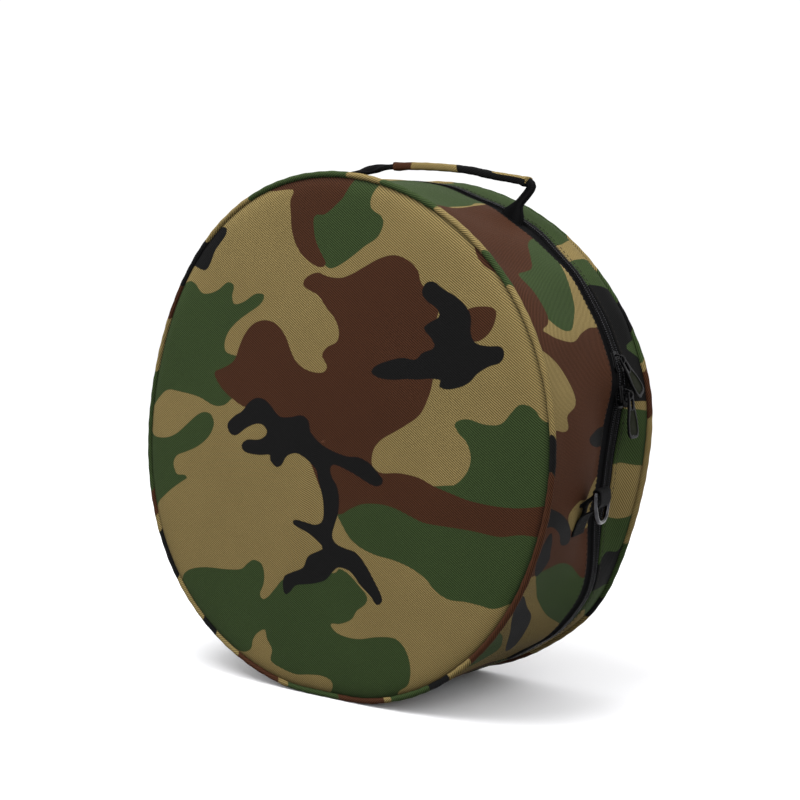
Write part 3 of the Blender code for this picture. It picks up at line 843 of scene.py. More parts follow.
@dataclass(frozen=True)
class PaleFloor:
    """Matt pale board under the bag, with a hint of unevenness."""

    name: str = "pale_floor"
    colour: tuple[int, int, int] = (251, 251, 253)

    def make(self) -> bpy.types.Material:
        """Return the material."""
        recipe = Recipe(self.name)
        cloud = recipe.noise(recipe.solid_place(), 1.3, 2.0, 0.5)
        recipe.feed(Base_Color=recipe.shade(dye(*self.colour), recipe.spread(cloud, 0.3, 0.7, 0.985, 1.0)),
                    Roughness=0.8, Specular_IOR_Level=0.1)
        return recipe.material


class Finishes:
    """Every finish of the bag, made once and shared by the pieces that carry it."""

    def __init__(self) -> None:
        """Make the materials."""
        self.twill = CamouflageTwill().make()
        self.tape = RibbedTape("zipper_tape_weave", rib_pitch=0.0009, height=0.0002).make()
        self.webbing = RibbedTape("webbing_weave", colour=(13, 13, 14), rib_pitch=0.0016,
                                  weft_pitch=0.0012, height=0.0005).make()
        self.binding = RibbedTape("binding_weave", colour=(16, 16, 18), rib_pitch=0.0014).make()
        self.lining = PlainWeave("lining_weave").make()
        self.foam = FoamSheet().make()
        self.coil = MouldedCoil().make()
        self.slider = CastMetal("black_enamel", (6, 6, 7), 0.0, 0.24, 0.0, 0.10).make()
        # dark olive colour for the piece set in the pull's sunk middle
        self.insert = CastMetal("olive_sunk_insert", (15, 18, 4), 0.0, 0.5, 0.0, 0.04).make()
        self.ring = CastMetal("gunmetal_wire", (50, 50, 52), 1.0, 0.24).make()
        self.thread = SewingThread().make()
        self.dark_thread = SewingThread("black_thread", (12, 12, 13)).make()
        self.coil_thread = SewingThread("coil_thread", (66, 66, 70)).make()


# ---------------------------------------------------------------- the soft form


@dataclass(frozen=True)
class SoftForm:
    """The shape that the sewn bag takes up: a true circle that has swelled, sagged and dented a little."""

    axis_height: float
    rim_radius: float
    front_rim: float
    rear_rim: float
    dent: float = 0.0142
    bulge: float = 0.0045
    floor_round: float = 0.002

    # How far the outline stands off its true circle, in millimetres: (waves round it, cosine, sine part).
    SWELL = ((0, -0.21, 0.0), (1, 2.44, 0.0), (2, 2.82, 2.40), (3, 1.74, -1.47), (4, -0.89, -1.68))

    @classmethod
    def from_frame(cls) -> "SoftForm":
        """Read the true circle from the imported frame."""
        low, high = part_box("front_piping")
        _, rear_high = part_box("lid_piping")
        return cls(axis_height=high.z - high.x, rim_radius=high.x, front_rim=low.y, rear_rim=rear_high.y)

    def swell(self, angle: np.ndarray) -> np.ndarray:
        """Return how far the outline stands off its true circle at an angle."""
        turn = np.radians(angle)
        return MM * sum(c * np.cos(n * turn) + s * np.sin(n * turn) for n, c, s in self.SWELL)

    def rear_swell(self, angle: np.ndarray) -> np.ndarray:
        """Return how much further out the rear rim stands than the front one, which is pulled tighter."""
        angle = np.asarray(angle) % WHOLE_TURN
        rise = 3.7 * hump(angle, 77.0, 15.0) + 5.4 * hump(angle, 130.0, 14.0)
        return MM * (rise + 1.6 * hump(angle, 155.0, 14.0) + 2.0 * hump(angle, 282.0, 20.0))

    def relief(self, angle: np.ndarray, depth: np.ndarray) -> np.ndarray:
        """Return how far the band's cloth stands off a straight band between the two rims.

        Args:
            angle: Degrees round the bag.
            depth: Place along the bag's depth.

        Returns:
            The height, negative in a dent.
        """
        angle = np.asarray(angle) % WHOLE_TURN
        ends = ease(depth, self.front_rim, self.front_rim + 0.022)
        ends = ends * ease(depth, self.rear_rim, self.rear_rim - 0.020)
        dent = -self.dent * hump(angle, 97.0, 19.0, 4) * hump(depth, 0.027, 0.031)
        bulge = self.bulge * hump(angle, 133.0, 11.0) * hump(depth, 0.030, 0.040)
        crest = 0.0036 * ease(angle, -1.0, 12.0) * ease(angle, 74.0, 60.0) * hump(depth, 0.059, 0.011)
        bulge = bulge + crest / np.maximum(ease(depth, self.rear_rim, self.rear_rim - 0.020), 0.35)
        turn = np.radians(angle)
        ripple = 0.55 * np.sin(9 * turn + depth * 42.0) + 0.4 * np.sin(16 * turn - depth * 61.0 + 1.3)
        ripple = ripple + 0.3 * np.sin(29 * turn + depth * 25.0 + 0.6)
        return ends * (dent + bulge + ripple * MM)

    def at(self, angle: Any, radius: Any, depth: Any) -> np.ndarray:
        """Place points of the bag on its soft form.

        Args:
            angle: Degrees round the bag, clockwise from the top.
            radius: Distance from the bag's axis on the true circle.
            depth: Place along the bag's depth.

        Returns:
            The places in the frame, with x, y and z last.
        """
        angle, radius, depth = np.broadcast_arrays(np.asarray(angle, float), radius, depth)
        share = radius / self.rim_radius
        back = ease(depth, 0.0, self.rear_rim) * self.rear_swell(angle)
        reach = radius + share * (self.swell(angle) + back)
        skin = ease(radius, 0.75 * self.rim_radius, 0.93 * self.rim_radius)
        reach = reach + skin * self.relief(angle, depth)
        turn = np.radians(angle)
        height = self.axis_height + reach * np.cos(turn)
        floor = self.rim_radius - radius
        height = 0.5 * (height + floor + np.sqrt((height - floor) ** 2 + self.floor_round ** 2))
        return np.stack([reach * np.sin(turn), depth, height - 0.5 * MM], axis=-1)


# ---------------------------------------------------------------- the bench


class Bench:
    """Makes meshes: sheets, tubes, plates and stitches; sheets and tubes carry a cloth map."""

    @staticmethod
    def piece(name: str, points: np.ndarray, faces: Sequence[Sequence[int]],
              cloth: Optional[np.ndarray] = None) -> bpy.types.Object:
        """Make an object from points and faces.

        Args:
            name: The piece's name.
            points: Its points, one a row.
            faces: Its faces, as lists of point numbers.
            cloth: The place on the flat cloth of every corner of every face, in order.

        Returns:
            The object, in the scene.
        """
        mesh = bpy.data.meshes.new(name)
        mesh.from_pydata(points.tolist(), [], faces if isinstance(faces, list) else faces.tolist())
        if cloth is not None:
            layer = mesh.uv_layers.new(name=CLOTH_MAP)
            layer.data.foreach_set("uv", cloth.astype(np.float32).ravel())
        mesh.validate()
        mesh.shade_smooth()
        made = bpy.data.objects.new(name, mesh)
        bpy.context.scene.collection.objects.link(made)
        return made

    @staticmethod
    def sheet(name: str, places: np.ndarray, cloth: np.ndarray, ring: bool = False,
              tube: bool = False) -> bpy.types.Object:
        """Make a sheet of cloth from rows of places.

        Args:
            name: The piece's name.
            places: The places by row and column.
            cloth: Each place on the flat cloth by row and column. A ring has one column more than places,
                and a tube one row more, for the map's far edge.
            ring: Whether the last column joins the first.
            tube: Whether the last row joins the first.

        Returns:
            The object.
        """
        rows, columns = places.shape[:2]
        row, column = np.meshgrid(np.arange(rows if tube else rows - 1),
                                  np.arange(columns if ring else columns - 1), indexing="ij")
        row, column = row.ravel(), column.ravel()
        corners = [(row, column), (row + 1, column), (row + 1, column + 1), (row, column + 1)]
        faces = np.stack([(r % rows) * columns + c % columns for r, c in corners], axis=1)
        flat = np.stack([cloth[r, c] for r, c in corners], axis=1)
        return Bench.piece(name, places.reshape(-1, 3), faces, flat.reshape(-1, 2))

    @staticmethod
    def tube(name: str, path: np.ndarray, radius: Union[float, np.ndarray], sides: int = 12,
             squash: float = 1.0, up: Vector = Vector((0, 1, 0))) -> bpy.types.Object:
        """Sweep a round or oval section along an open path, with rounded ends.

        Args:
            name: The piece's name.
            path: The path's places, one a row.
            radius: The section's radius, the same all along or one a place.
            sides: How many sides it has.
            squash: How thick it is across up, as a share of its radius along up.
            up: The direction that the section's first axis keeps to.

        Returns:
            The object.
        """
        radii = np.broadcast_to(np.asarray(radius, float), len(path)).copy()
        steps, side, other = Bench.frames(path, np.array(up))
        rings = sections(path, radii[:, None] * side, squash * radii[:, None] * other, circle(sides))
        cap = min(radii[0], radii[-1]) * 0.6
        first = path[0] - steps[0] * cap * 0.5 + (rings[0] - path[0]) * 0.6
        last = path[-1] + steps[-1] * cap * 0.5 + (rings[-1] - path[-1]) * 0.6
        rings = np.concatenate([first[None], rings, last[None]])
        along = run_lengths(rings.mean(axis=1))
        around = np.linspace(0.0, math.tau * radii.mean() * (1 + squash) / 2, sides + 1)
        return Bench.closed(name, rings, cloth_grid(along, around))

    @staticmethod
    def frames(path: np.ndarray, up: np.ndarray) -> tuple[np.ndarray, np.ndarray, np.ndarray]:
        """Work out the directions of a section along an open path.

        Args:
            path: The path's places, one a row.
            up: The direction that the section's first axis keeps to.

        Returns:
            At each place, the way along the path and the section's first and second axis.
        """
        steps = unit(np.gradient(path, axis=0))
        side = unit(up - (steps @ up)[:, None] * steps)
        return steps, side, np.cross(steps, side)

    @staticmethod
    def closed(name: str, rings: np.ndarray, cloth: np.ndarray, tube: bool = False) -> bpy.types.Object:
        """Make a closed piece from the rings round it.

        Args:
            name: The piece's name.
            rings: The places, by ring, place on the ring and axis.
            cloth: Where each place lies on the cloth, as sheet takes it.
            tube: Whether the last ring joins the first.

        Returns:
            The object.
        """
        made = Bench.sheet(name, rings, cloth, ring=True, tube=tube)
        Bench.close_ends(made)
        return made

    @staticmethod
    def close_ends(piece: bpy.types.Object) -> None:
        """Fill the open ends of a tube and turn every face outwards."""
        mesh = bmesh.new()
        mesh.from_mesh(piece.data)
        bmesh.ops.holes_fill(mesh, edges=[e for e in mesh.edges if e.is_boundary], sides=0)
        bmesh.ops.recalc_face_normals(mesh, faces=mesh.faces)
        mesh.to_mesh(piece.data)
        mesh.free()
        piece.data.shade_smooth()

    @staticmethod
    def plate(name: str, outline: Sequence[Point], thickness: float, bevel: float,
              holes: Iterable[Sequence[Point]] = (), seat: Optional[Matrix] = None) -> bpy.types.Object:
        """Make a plate with rounded edges from its outline.

        Args:
            name: The piece's name.
            outline: Its corners, in metres.
            thickness: Its whole thickness.
            bevel: The radius of its edges.
            holes: The corners of each hole.
            seat: Where it is put, with its thickness along Z.

        Returns:
            The object.
        """
        curve = bpy.data.curves.new(name, "CURVE")
        curve.dimensions, curve.fill_mode = "2D", "BOTH"
        curve.extrude, curve.bevel_depth, curve.bevel_resolution = thickness / 2 - bevel, bevel, 3
        curve.offset = -bevel
        for loop in (outline, *holes):
            spline = curve.splines.new("POLY")
            spline.points.add(len(loop) - 1)
            for point, (x, y) in zip(spline.points, loop):
                point.co = (x, y, 0.0, 1.0)
            spline.use_cyclic_u = True
        shape = bpy.data.objects.new(name + "_outline", curve)
        bpy.context.scene.collection.objects.link(shape)
        bpy.context.view_layer.update()
        mesh = bpy.data.meshes.new_from_object(shape.evaluated_get(bpy.context.evaluated_depsgraph_get()))
        bpy.data.objects.remove(shape)
        bpy.data.curves.remove(curve)
        mesh.name = name
        made = bpy.data.objects.new(name, mesh)
        bpy.context.scene.collection.objects.link(made)
        solid = bmesh.new()
        solid.from_mesh(mesh)
        bmesh.ops.remove_doubles(solid, verts=solid.verts, dist=1e-6)
        bmesh.ops.recalc_face_normals(solid, faces=solid.faces)
        solid.to_mesh(mesh)
        solid.free()
        mesh.shade_smooth()
        mesh.set_sharp_from_angle(angle=math.radians(50))
        if seat is not None:
            mesh.transform(seat)
        return made

    @staticmethod
    def join(name: str, parts: Sequence[bpy.types.Object]) -> bpy.types.Object:
        """Join separate bodies of one cast or sewn piece into one object.

        Args:
            name: The joined piece's name.
            parts: The bodies, all at the frame's own place.

        Returns:
            The object.
        """
        first = parts[0]
        with bpy.context.temp_override(active_object=first, selected_editable_objects=list(parts)):
            bpy.ops.object.join()
        first.name = first.data.name = name
        return first

    @staticmethod
    def links(name: str, rings: np.ndarray) -> bpy.types.Object:
        """Make many short closed links of one kind in one piece.

        Args:
            name: The piece's name.
            rings: Their corners, by link, station along the link, side and axis.

        Returns:
            The object.
        """
        count, stations, sides = rings.shape[:3]
        per = stations * sides
        faces = [[near + s, near + sides + s, near + sides + (s + 1) % sides, near + (s + 1) % sides]
                 for near in range(0, per - sides, sides) for s in range(sides)]
        faces += [list(range(sides)), list(range(per - 1, per - sides - 1, -1))]
        every = [[i + n * per for i in face] for n in range(count) for face in faces]
        return Bench.piece(name, rings.reshape(-1, 3), every)

    @staticmethod
    def stitches(name: str, starts: np.ndarray, ends: np.ndarray, outward: np.ndarray,
                 radius: float = 0.00032) -> bpy.types.Object:
        """Sew a row of short stitches, each a little arched thread that dips in at both ends.

        Args:
            name: The piece's name.
            starts: Where each stitch leaves the cloth, one a row.
            ends: Where it goes back in.
            outward: The direction away from the cloth at each.
            radius: The thread's radius.

        Returns:
            The object.
        """
        sides, stations = 6, (0.0, 0.12, 0.5, 0.88, 1.0)
        lifts, widths = (-1.0, 0.2, 0.55, 0.2, -1.0), (0.35, 0.9, 1.0, 0.9, 0.35)
        line = ends - starts
        line_unit = unit(line)
        side = unit(np.cross(line_unit, outward))
        lift = np.cross(side, line_unit)
        rings = []
        for station, high, wide in zip(stations, lifts, widths):
            middle = starts + station * line + high * radius * lift
            rings.append(sections(middle, wide * radius * side, wide * radius * lift, circle(sides)))
        return Bench.links(name, np.stack(rings, axis=1))


@dataclass
class Assembly:
    """What every sub-assembly of the bag shares: the form that it is sewn over and its finishes."""

    form: SoftForm
    finishes: Finishes

    def fit(self, piece: bpy.types.Object, material: bpy.types.Material, slot: str, body: str,
            stands_for: Sequence[str] = (), across_hinge: Optional[tuple[float, float]] = None
            ) -> bpy.types.Object:
        """Dress a piece and fasten it to what carries it, unless it crosses the hinge.

        Args:
            piece: The piece.
            material: Its finish.
            slot: Not used.
            body: The body that it rides on.
            stands_for: The frame's plain solids that it replaces.
            across_hinge: Hinge heights for a piece that crosses the hinge; such a piece is left where it is
                and fastened to nothing, and the heights themselves are not read.

        Returns:
            The piece.
        """
        piece.data.materials.clear()
        piece.data.materials.append(material)
        if across_hinge:
            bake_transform(piece)
        else:
            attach(piece, body)
        if stands_for:
            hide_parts(*stands_for)
        LOG.info("%s: %d faces, on %s", piece.name, len(piece.data.polygons), body)
        return piece


@dataclass
class RimAssembly(Assembly):
    """A sub-assembly that the front rim and the rear rim both have."""

    rear: bool = False

    @property
    def side(self) -> str:
        """Return the rim's name."""
        return "rear" if self.rear else "front"

    @property
    def hinge(self) -> Optional[tuple[float, float]]:
        """Return the hinge heights for the rear rim's pieces, which are then fastened to nothing; None for
        the front.
        """
        return HINGE_REACH if self.rear else None

    def nodes(self, layer: str) -> tuple[str, ...]:
        """Return the frame's solids of a layer. The rear ones have a strip below the fold line."""
        return (f"lid_{layer}", f"foot_{layer}") if self.rear else (f"front_{layer}",)


# ---------------------------------------------------------------- covers and band


@dataclass
class Cover(RimAssembly):
    """One round face of the bag: printed cloth outside, foam between and lining inside."""

    edge_radius: float = 0.1945
    edge_depth: float = 0.0024
    roll: float = 0.0036
    roll_length: float = 0.0045
    crown: float = 0.0044
    foam_inset: float = 0.0012
    foam_thickness: float = 0.0046
    lining_radius: float = 0.1872
    cloth_cells: int = 156
    lining_cells: int = 96

    def depth_at(self, share: np.ndarray, inset: float) -> np.ndarray:
        """Return where a layer of the cover lies along the depth.

        Args:
            share: How far out from the middle, from 0 to 1.
            inset: How far inside the outer cloth the layer lies.

        Returns:
            The place along the depth.
        """
        edge = (1.0 - share) * self.edge_radius
        proud = self.roll * (1.0 - np.exp(-edge / self.roll_length)) + self.crown * (1.0 - share ** 2)
        rim = self.form.rear_rim if self.rear else -self.form.front_rim
        depth = rim - self.edge_depth + proud - inset
        return depth if self.rear else -depth

    def disc(self, name: str, radius: float, cells: int, inset: float) -> tuple[bpy.types.Object, np.ndarray]:
        """Make one layer as a round sheet.

        Args:
            name: The piece's name.
            radius: The layer's radius.
            cells: How many cells it has across.
            inset: How far inside the outer cloth it lies.

        Returns:
            The object, and each point's place on the print in millimetres.
        """
        line = np.linspace(-1.0, 1.0, cells + 1)
        u, v = np.meshgrid(line, line, indexing="ij")
        across, up = u * np.sqrt(1 - v ** 2 / 2), v * np.sqrt(1 - u ** 2 / 2)
        share = np.minimum(np.hypot(across, up), 1.0)
        angle = np.degrees(np.arctan2(across, up))
        places = self.form.at(angle, share * radius, self.depth_at(share * radius / self.edge_radius, inset))
        if self.rear:
            places = places[::-1]
        cloth = np.stack([across * radius, up * radius], axis=-1)
        made = Bench.sheet(name, places, cloth[::-1] if self.rear else cloth)
        flat = np.stack([places[..., 0], places[..., 2] - self.form.axis_height - 0.0025], axis=-1) / MM
        return made, flat.reshape(-1, 2)

    def paint_edge_shadow(self, outer: bpy.types.Object) -> None:
        """Paint the groove's shadow on the cover's cloth along its seam."""
        share = np.zeros(len(outer.data.vertices))
        loops = np.empty(len(outer.data.loops), int)
        outer.data.loops.foreach_get("vertex_index", loops)
        flat = np.empty(2 * len(loops), np.float32)
        outer.data.uv_layers[CLOTH_MAP].data.foreach_get("uv", flat)
        share[loops] = np.hypot(flat[0::2], flat[1::2])
        paint_seam_shadow(outer, self.edge_radius - share, 0.0021, 0.85)

    def pad(self, name: str, radius: float, inset: float, thickness: float) -> bpy.types.Object:
        """Make the foam as a closed pad with rounded edges.

        Args:
            name: The piece's name.
            radius: Its radius.
            inset: How far inside the outer cloth its outer face lies.
            thickness: How thick it is.

        Returns:
            The object.
        """
        shares = np.concatenate([np.linspace(0.03, 0.97, 20), [0.985, 0.997]])
        outer = [(s, inset + (0.0006 if s > 0.99 else 0.0)) for s in shares]
        inner = [(s, inset + thickness - (0.0006 if s > 0.99 else 0.0)) for s in shares[::-1]]
        section = np.array(outer + [(1.0, inset + thickness / 2)] + inner)
        angle = np.arange(0.0, WHOLE_TURN, 3.0)
        share, step = section[:, 0][:, None], section[:, 1][:, None]
        places = self.form.at(angle[None, :], share * radius,
                              self.depth_at(share * radius / self.edge_radius, 0.0)
                              + (-step if self.rear else step))
        return Bench.closed(name, places, np.zeros((len(section), len(angle) + 1, 2)))

    def lay(self, layer: bpy.types.Object, radius: float) -> None:
        """Do nothing with a round layer of cloth; it is left as it is."""

    def build(self, camouflage: Camouflage) -> None:
        """Build the three layers and fasten them.

        Args:
            camouflage: The print of the outer cloth.
        """
        outer, places = self.disc(f"{self.side}_cover_cloth", self.edge_radius, self.cloth_cells, 0.0)
        camouflage.print_on(outer, places)
        self.paint_edge_shadow(outer)
        self.fit(outer, self.finishes.twill, "camouflage_fabric", "tray", self.nodes("panel"), self.hinge)
        self.lay(outer, self.edge_radius)
        pad = self.pad(f"{self.side}_cover_foam", self.edge_radius - 0.003, self.foam_inset,
                       self.foam_thickness)
        self.fit(pad, self.finishes.foam, "foam", "tray", self.nodes("panel_foam"), self.hinge)
        lining, _ = self.disc(f"{self.side}_cover_lining", self.lining_radius, self.lining_cells,
                              self.foam_inset + self.foam_thickness + 0.0006)
        self.fit(lining, self.finishes.lining, "lining", "tray", self.nodes("panel_lining"), self.hinge)
        self.lay(lining, self.lining_radius)


@dataclass
class Band(RimAssembly):
    """The strip round the bag on one side of the zipper, with its foam, lining, and folded edge."""

    cloth_radius: float = 0.1950
    seam_tuck: float = 0.0034
    zip_edge: float = 0.0265
    fold_radius: float = 0.0008
    turned_in: float = 0.011
    columns: int = 500
    pull_back: float = 0.0050
    foam_outer: float = 0.1937
    foam_inner: float = 0.1891
    lining_radius: float = 0.1884

    def zip_line(self, angle: np.ndarray) -> np.ndarray:
        """Return where the folded edge beside the zipper runs, pulled back a little under the handle."""
        if self.rear:
            return np.full_like(angle, self.zip_edge)
        spots = hump(angle, 27.0, 15.0) + hump(angle, 333.0, 15.0) + 0.5 * hump(angle, 88.0, 17.0)
        spots = spots + 0.75 * hump(angle, 38.0, 9.0)
        return self.zip_edge - self.pull_back * spots

    def section(self) -> np.ndarray:
        """Return the cloth's section from the seam to the folded edge and back under, as (radius, share).

        The share is 0 at the rim and 1 at the folded edge, and a share past 1 counts metres turned in.
        """
        tuck = [(self.cloth_radius - 0.0022, 0.0), (self.cloth_radius - 0.0008, 0.004)]
        face = [(self.cloth_radius, s) for s in (0.012, 0.022, 0.034, *np.linspace(0.05, 0.985, 38))]
        rounded = [(self.cloth_radius - self.fold_radius * (1 - math.cos(t)), 1.0 + 0.0001 * math.sin(t))
                   for t in np.radians((60, 120, 180))]
        under = [(self.cloth_radius - 2 * self.fold_radius, 1.0 + s)
                 for s in np.linspace(0.003, self.turned_in, 4)]
        return np.array(tuck + face + rounded + under)

    def build(self, camouflage: Camouflage) -> None:
        """Build the band's cloth, foam and lining.

        Args:
            camouflage: The print of the outer cloth.
        """
        form = self.form
        angle = round_bag(self.columns)
        edge = self.zip_line(angle % WHOLE_TURN)[None, :]
        rim = (form.rear_rim if self.rear else form.front_rim)
        seam = rim - self.seam_tuck if self.rear else rim + self.seam_tuck
        section = self.section()
        radius, share = section[:, 0][:, None], section[:, 1][:, None]
        towards = -1.0 if self.rear else 1.0
        depth = np.where(share <= 1.0, seam + share * (edge - seam), edge - towards * (share - 1.0))
        places = form.at(angle[None, :], radius, depth)
        length = math.tau * self.cloth_radius
        around = np.linspace(0.0, length, self.columns + 1)
        run = run_lengths(np.stack([section[:, 0], depth.mean(axis=1)], axis=1))
        cloth = cloth_grid(run, around)[..., ::-1]
        made = Bench.sheet(f"{self.side}_band_cloth", places, cloth, ring=True)
        spots = np.stack(np.broadcast_arrays(angle[None, :] % WHOLE_TURN * PER_DEGREE,
                                             (depth - form.front_rim) / MM), axis=-1)
        camouflage.print_on(made, spots.reshape(-1, 2))
        # painted shade along the band's seam with the piping, standing in for the groove's shadow
        paint_seam_shadow(made, np.broadcast_to(np.abs(depth - seam), places.shape[:2]), 0.0024, 0.8)
        self.fit(made, self.finishes.twill, "camouflage_fabric", "tray", self.nodes("gusset"), self.hinge)
        foam_end = self.zip_edge - towards * (self.turned_in - 0.002)
        pad = self.ring_body(f"{self.side}_band_foam", (self.foam_inner, self.foam_outer),
                             (rim + towards * 0.0075, foam_end))
        self.fit(pad, self.finishes.foam, "foam", "tray", self.nodes("gusset_foam"), self.hinge)
        self.build_lining(rim + towards * 0.0072)

    def ring_body(self, name: str, radii: Point, depths: Point) -> bpy.types.Object:
        """Make a closed ring between two radii and two depths, with rounded corners.

        Args:
            name: The piece's name.
            radii: Its inner and outer radius.
            depths: Its two ends along the depth.

        Returns:
            The object.
        """
        inner, outer = radii
        start, end = depths
        r = 0.0008 * math.copysign(1.0, end - start)
        line = np.linspace(start + r, end - r, 14)
        section = ([(outer, y) for y in line] + [(outer - abs(r) * 0.6, end), (inner + abs(r) * 0.6, end)]
                   + [(inner, y) for y in line[::-1]]
                   + [(inner + abs(r) * 0.6, start), (outer - abs(r) * 0.6, start)])
        rows = np.array(section)
        angle = np.arange(-180.0, 180.0, 2.5)
        places = self.form.at(angle[None, :], rows[:, 0][:, None], rows[:, 1][:, None])
        cloth = cloth_grid(np.linspace(0, 0.1, len(rows) + 1),
                                     np.linspace(0, 1.2, len(angle) + 1))
        return Bench.closed(name, places, cloth, tube=True)

    def build_lining(self, seam: float) -> None:
        """Build the lining that closes the band on the inside and laps the turned-in cloth.

        Args:
            seam: Where it starts along the depth.
        """
        towards = -1.0 if self.rear else 1.0
        end = self.zip_edge - towards * 0.0025
        angle = round_bag(360)
        depth = np.linspace(seam, end, 16)
        lap = ease(np.linspace(0.0, 1.0, 16), 0.8, 1.0) * 0.0030
        places = self.form.at(angle[None, :], self.lining_radius + lap[:, None], depth[:, None])
        around = np.linspace(0.0, math.tau * self.lining_radius, len(angle) + 1)
        cloth = cloth_grid(np.abs(depth - seam), around)
        made = Bench.sheet(f"{self.side}_band_lining", places, cloth, ring=True)
        self.fit(made, self.finishes.lining, "lining", "tray", self.nodes("gusset_lining"), self.hinge)


PER_DEGREE = math.radians(1.0) * 0.195 / MM


def run_of_inks(angle: np.ndarray, runs: Sequence[tuple[Ink, float, float]], ink: Ink) -> np.ndarray:
    """Return how deep each angle lies inside an ink's lengths of piping, in millimetres.

    Args:
        angle: Degrees round the bag.
        runs: Each length's ink, start and end in degrees.
        ink: The ink that is asked for.

    Returns:
        The depth, positive inside a length.
    """
    depth = np.full(angle.shape, -INK_REACH)
    for found, start, end in runs:
        if found is ink:
            middle, half = (start + end) / 2, (end - start) / 2
            off = np.abs((angle - middle + 180.0) % WHOLE_TURN - 180.0)
            depth = np.maximum(depth, (half - off) * PER_DEGREE)
    return depth


FRONT_PIPING_RUNS: tuple[tuple[Ink, float, float], ...] = (
    (Ink.GREEN, -12, 6), (Ink.GREEN, 15, 30), (Ink.GREEN, 44.6, 53.7), (Ink.BLACK, 85, 92.5),
    (Ink.BROWN, 92.5, 139), (Ink.BLACK, 146, 152), (Ink.GREEN, 152, 163), (Ink.BROWN, 165, 178),
    (Ink.GREEN, 178, 193), (Ink.BROWN, 196, 209), (Ink.BLACK, 217, 222), (Ink.BLACK, 234, 246),
    (Ink.BROWN, 250, 256), (Ink.GREEN, 256, 286), (Ink.BROWN, 300, 309), (Ink.BLACK, 309, 322),
    (Ink.GREEN, 338, 348),
)


REAR_PIPING_RUNS: tuple[tuple[Ink, float, float], ...] = (
    (Ink.GREEN, 5, 38), (Ink.GREEN, 48.5, 57), (Ink.BLACK, 57, 64), (Ink.GREEN, 64, 71), (Ink.BROWN, 73, 83),
    (Ink.GREEN, 112, 126), (Ink.BLACK, 126, 132), (Ink.BROWN, 150, 163),
    (Ink.BLACK, 176, 190), (Ink.GREEN, 200, 226), (Ink.BROWN, 240, 262), (Ink.GREEN, 275, 300),
    (Ink.BLACK, 304, 312), (Ink.BROWN, 318, 336), (Ink.GREEN, 344, 352),
)


@dataclass
class Piping(RimAssembly):
    """The covered cord sewn into one rim, its printed cover, and the binding over the seam inside."""

    cord_radius: float = 0.0023
    bias: float = 0.9
    columns: int = 720
    sides: int = 14
    binding_radius: float = 0.1856
    binding_cut: float = 0.0122
    binding_run: float = 1.17

    def build(self) -> None:
        """Build the covered cord and the binding."""
        form = self.form
        towards = 1.0 if self.rear else -1.0
        rim = form.rear_rim if self.rear else form.front_rim
        middle = form.rim_radius - self.cord_radius
        angle = round_bag(self.columns)
        turn = round_turn(self.sides)
        pucker = 1.0 + 0.05 * np.sin(np.radians(angle) * 97) + 0.03 * np.sin(np.radians(angle) * 41 + 1.0)
        radius = middle + self.cord_radius * np.cos(turn)[:, None] * pucker[None, :]
        depth = rim - towards * self.cord_radius * (1.0 - np.sin(turn)[:, None] * pucker)
        places = form.at(angle[None, :], radius, depth)
        length = math.tau * middle
        cloth = cloth_grid(np.linspace(0.0, math.tau * self.cord_radius, self.sides + 1),
                                     np.linspace(0.0, length, self.columns + 1))[..., ::-1]
        made = Bench.sheet(f"{self.side}_piping_cord", places, cloth, ring=True, tube=True)
        slanted = angle[None, :] + self.bias * np.sin(turn)[:, None]
        runs = REAR_PIPING_RUNS if self.rear else FRONT_PIPING_RUNS
        for ink in Ink:
            write_layer(made, ink.value, run_of_inks(slanted, runs, ink))
        self.fit(made, self.finishes.twill, "piping_fabric", "tray", self.nodes("piping"), self.hinge)
        self.build_binding(rim - towards * 0.0086, towards)

    def build_binding(self, seam: float, towards: float) -> None:
        """Build the tape folded over the seam on the inside.

        Args:
            seam: The fold's place along the depth.
            towards: Which way the rim lies.
        """
        angle = round_bag(360)
        stand, half = 0.0052, 0.0008
        section = [(stand * s, half) for s in (0.0, 0.35, 0.7, 0.92)] + [(stand, 0.0)]
        section += [(stand * s, -half) for s in (0.92, 0.7, 0.35, 0.0)]
        rows = np.array(section)
        places = self.form.at(angle[None, :], self.binding_radius + 0.0030 - rows[:, 0][:, None] * 0.75,
                              seam - towards * rows[:, 0][:, None] * 0.25 + rows[:, 1][:, None])
        cloth = cloth_grid(np.linspace(0.0, 2 * stand, len(rows)),
                                     np.linspace(0.0, self.binding_run, len(angle) + 1))[..., ::-1]
        made = Bench.sheet(f"{self.side}_seam_binding", places, cloth, ring=True)
        self.fit(made, self.finishes.binding, "seam_binding", "tray", self.nodes("binding"), self.hinge)


# ---------------------------------------------------------------- zipper


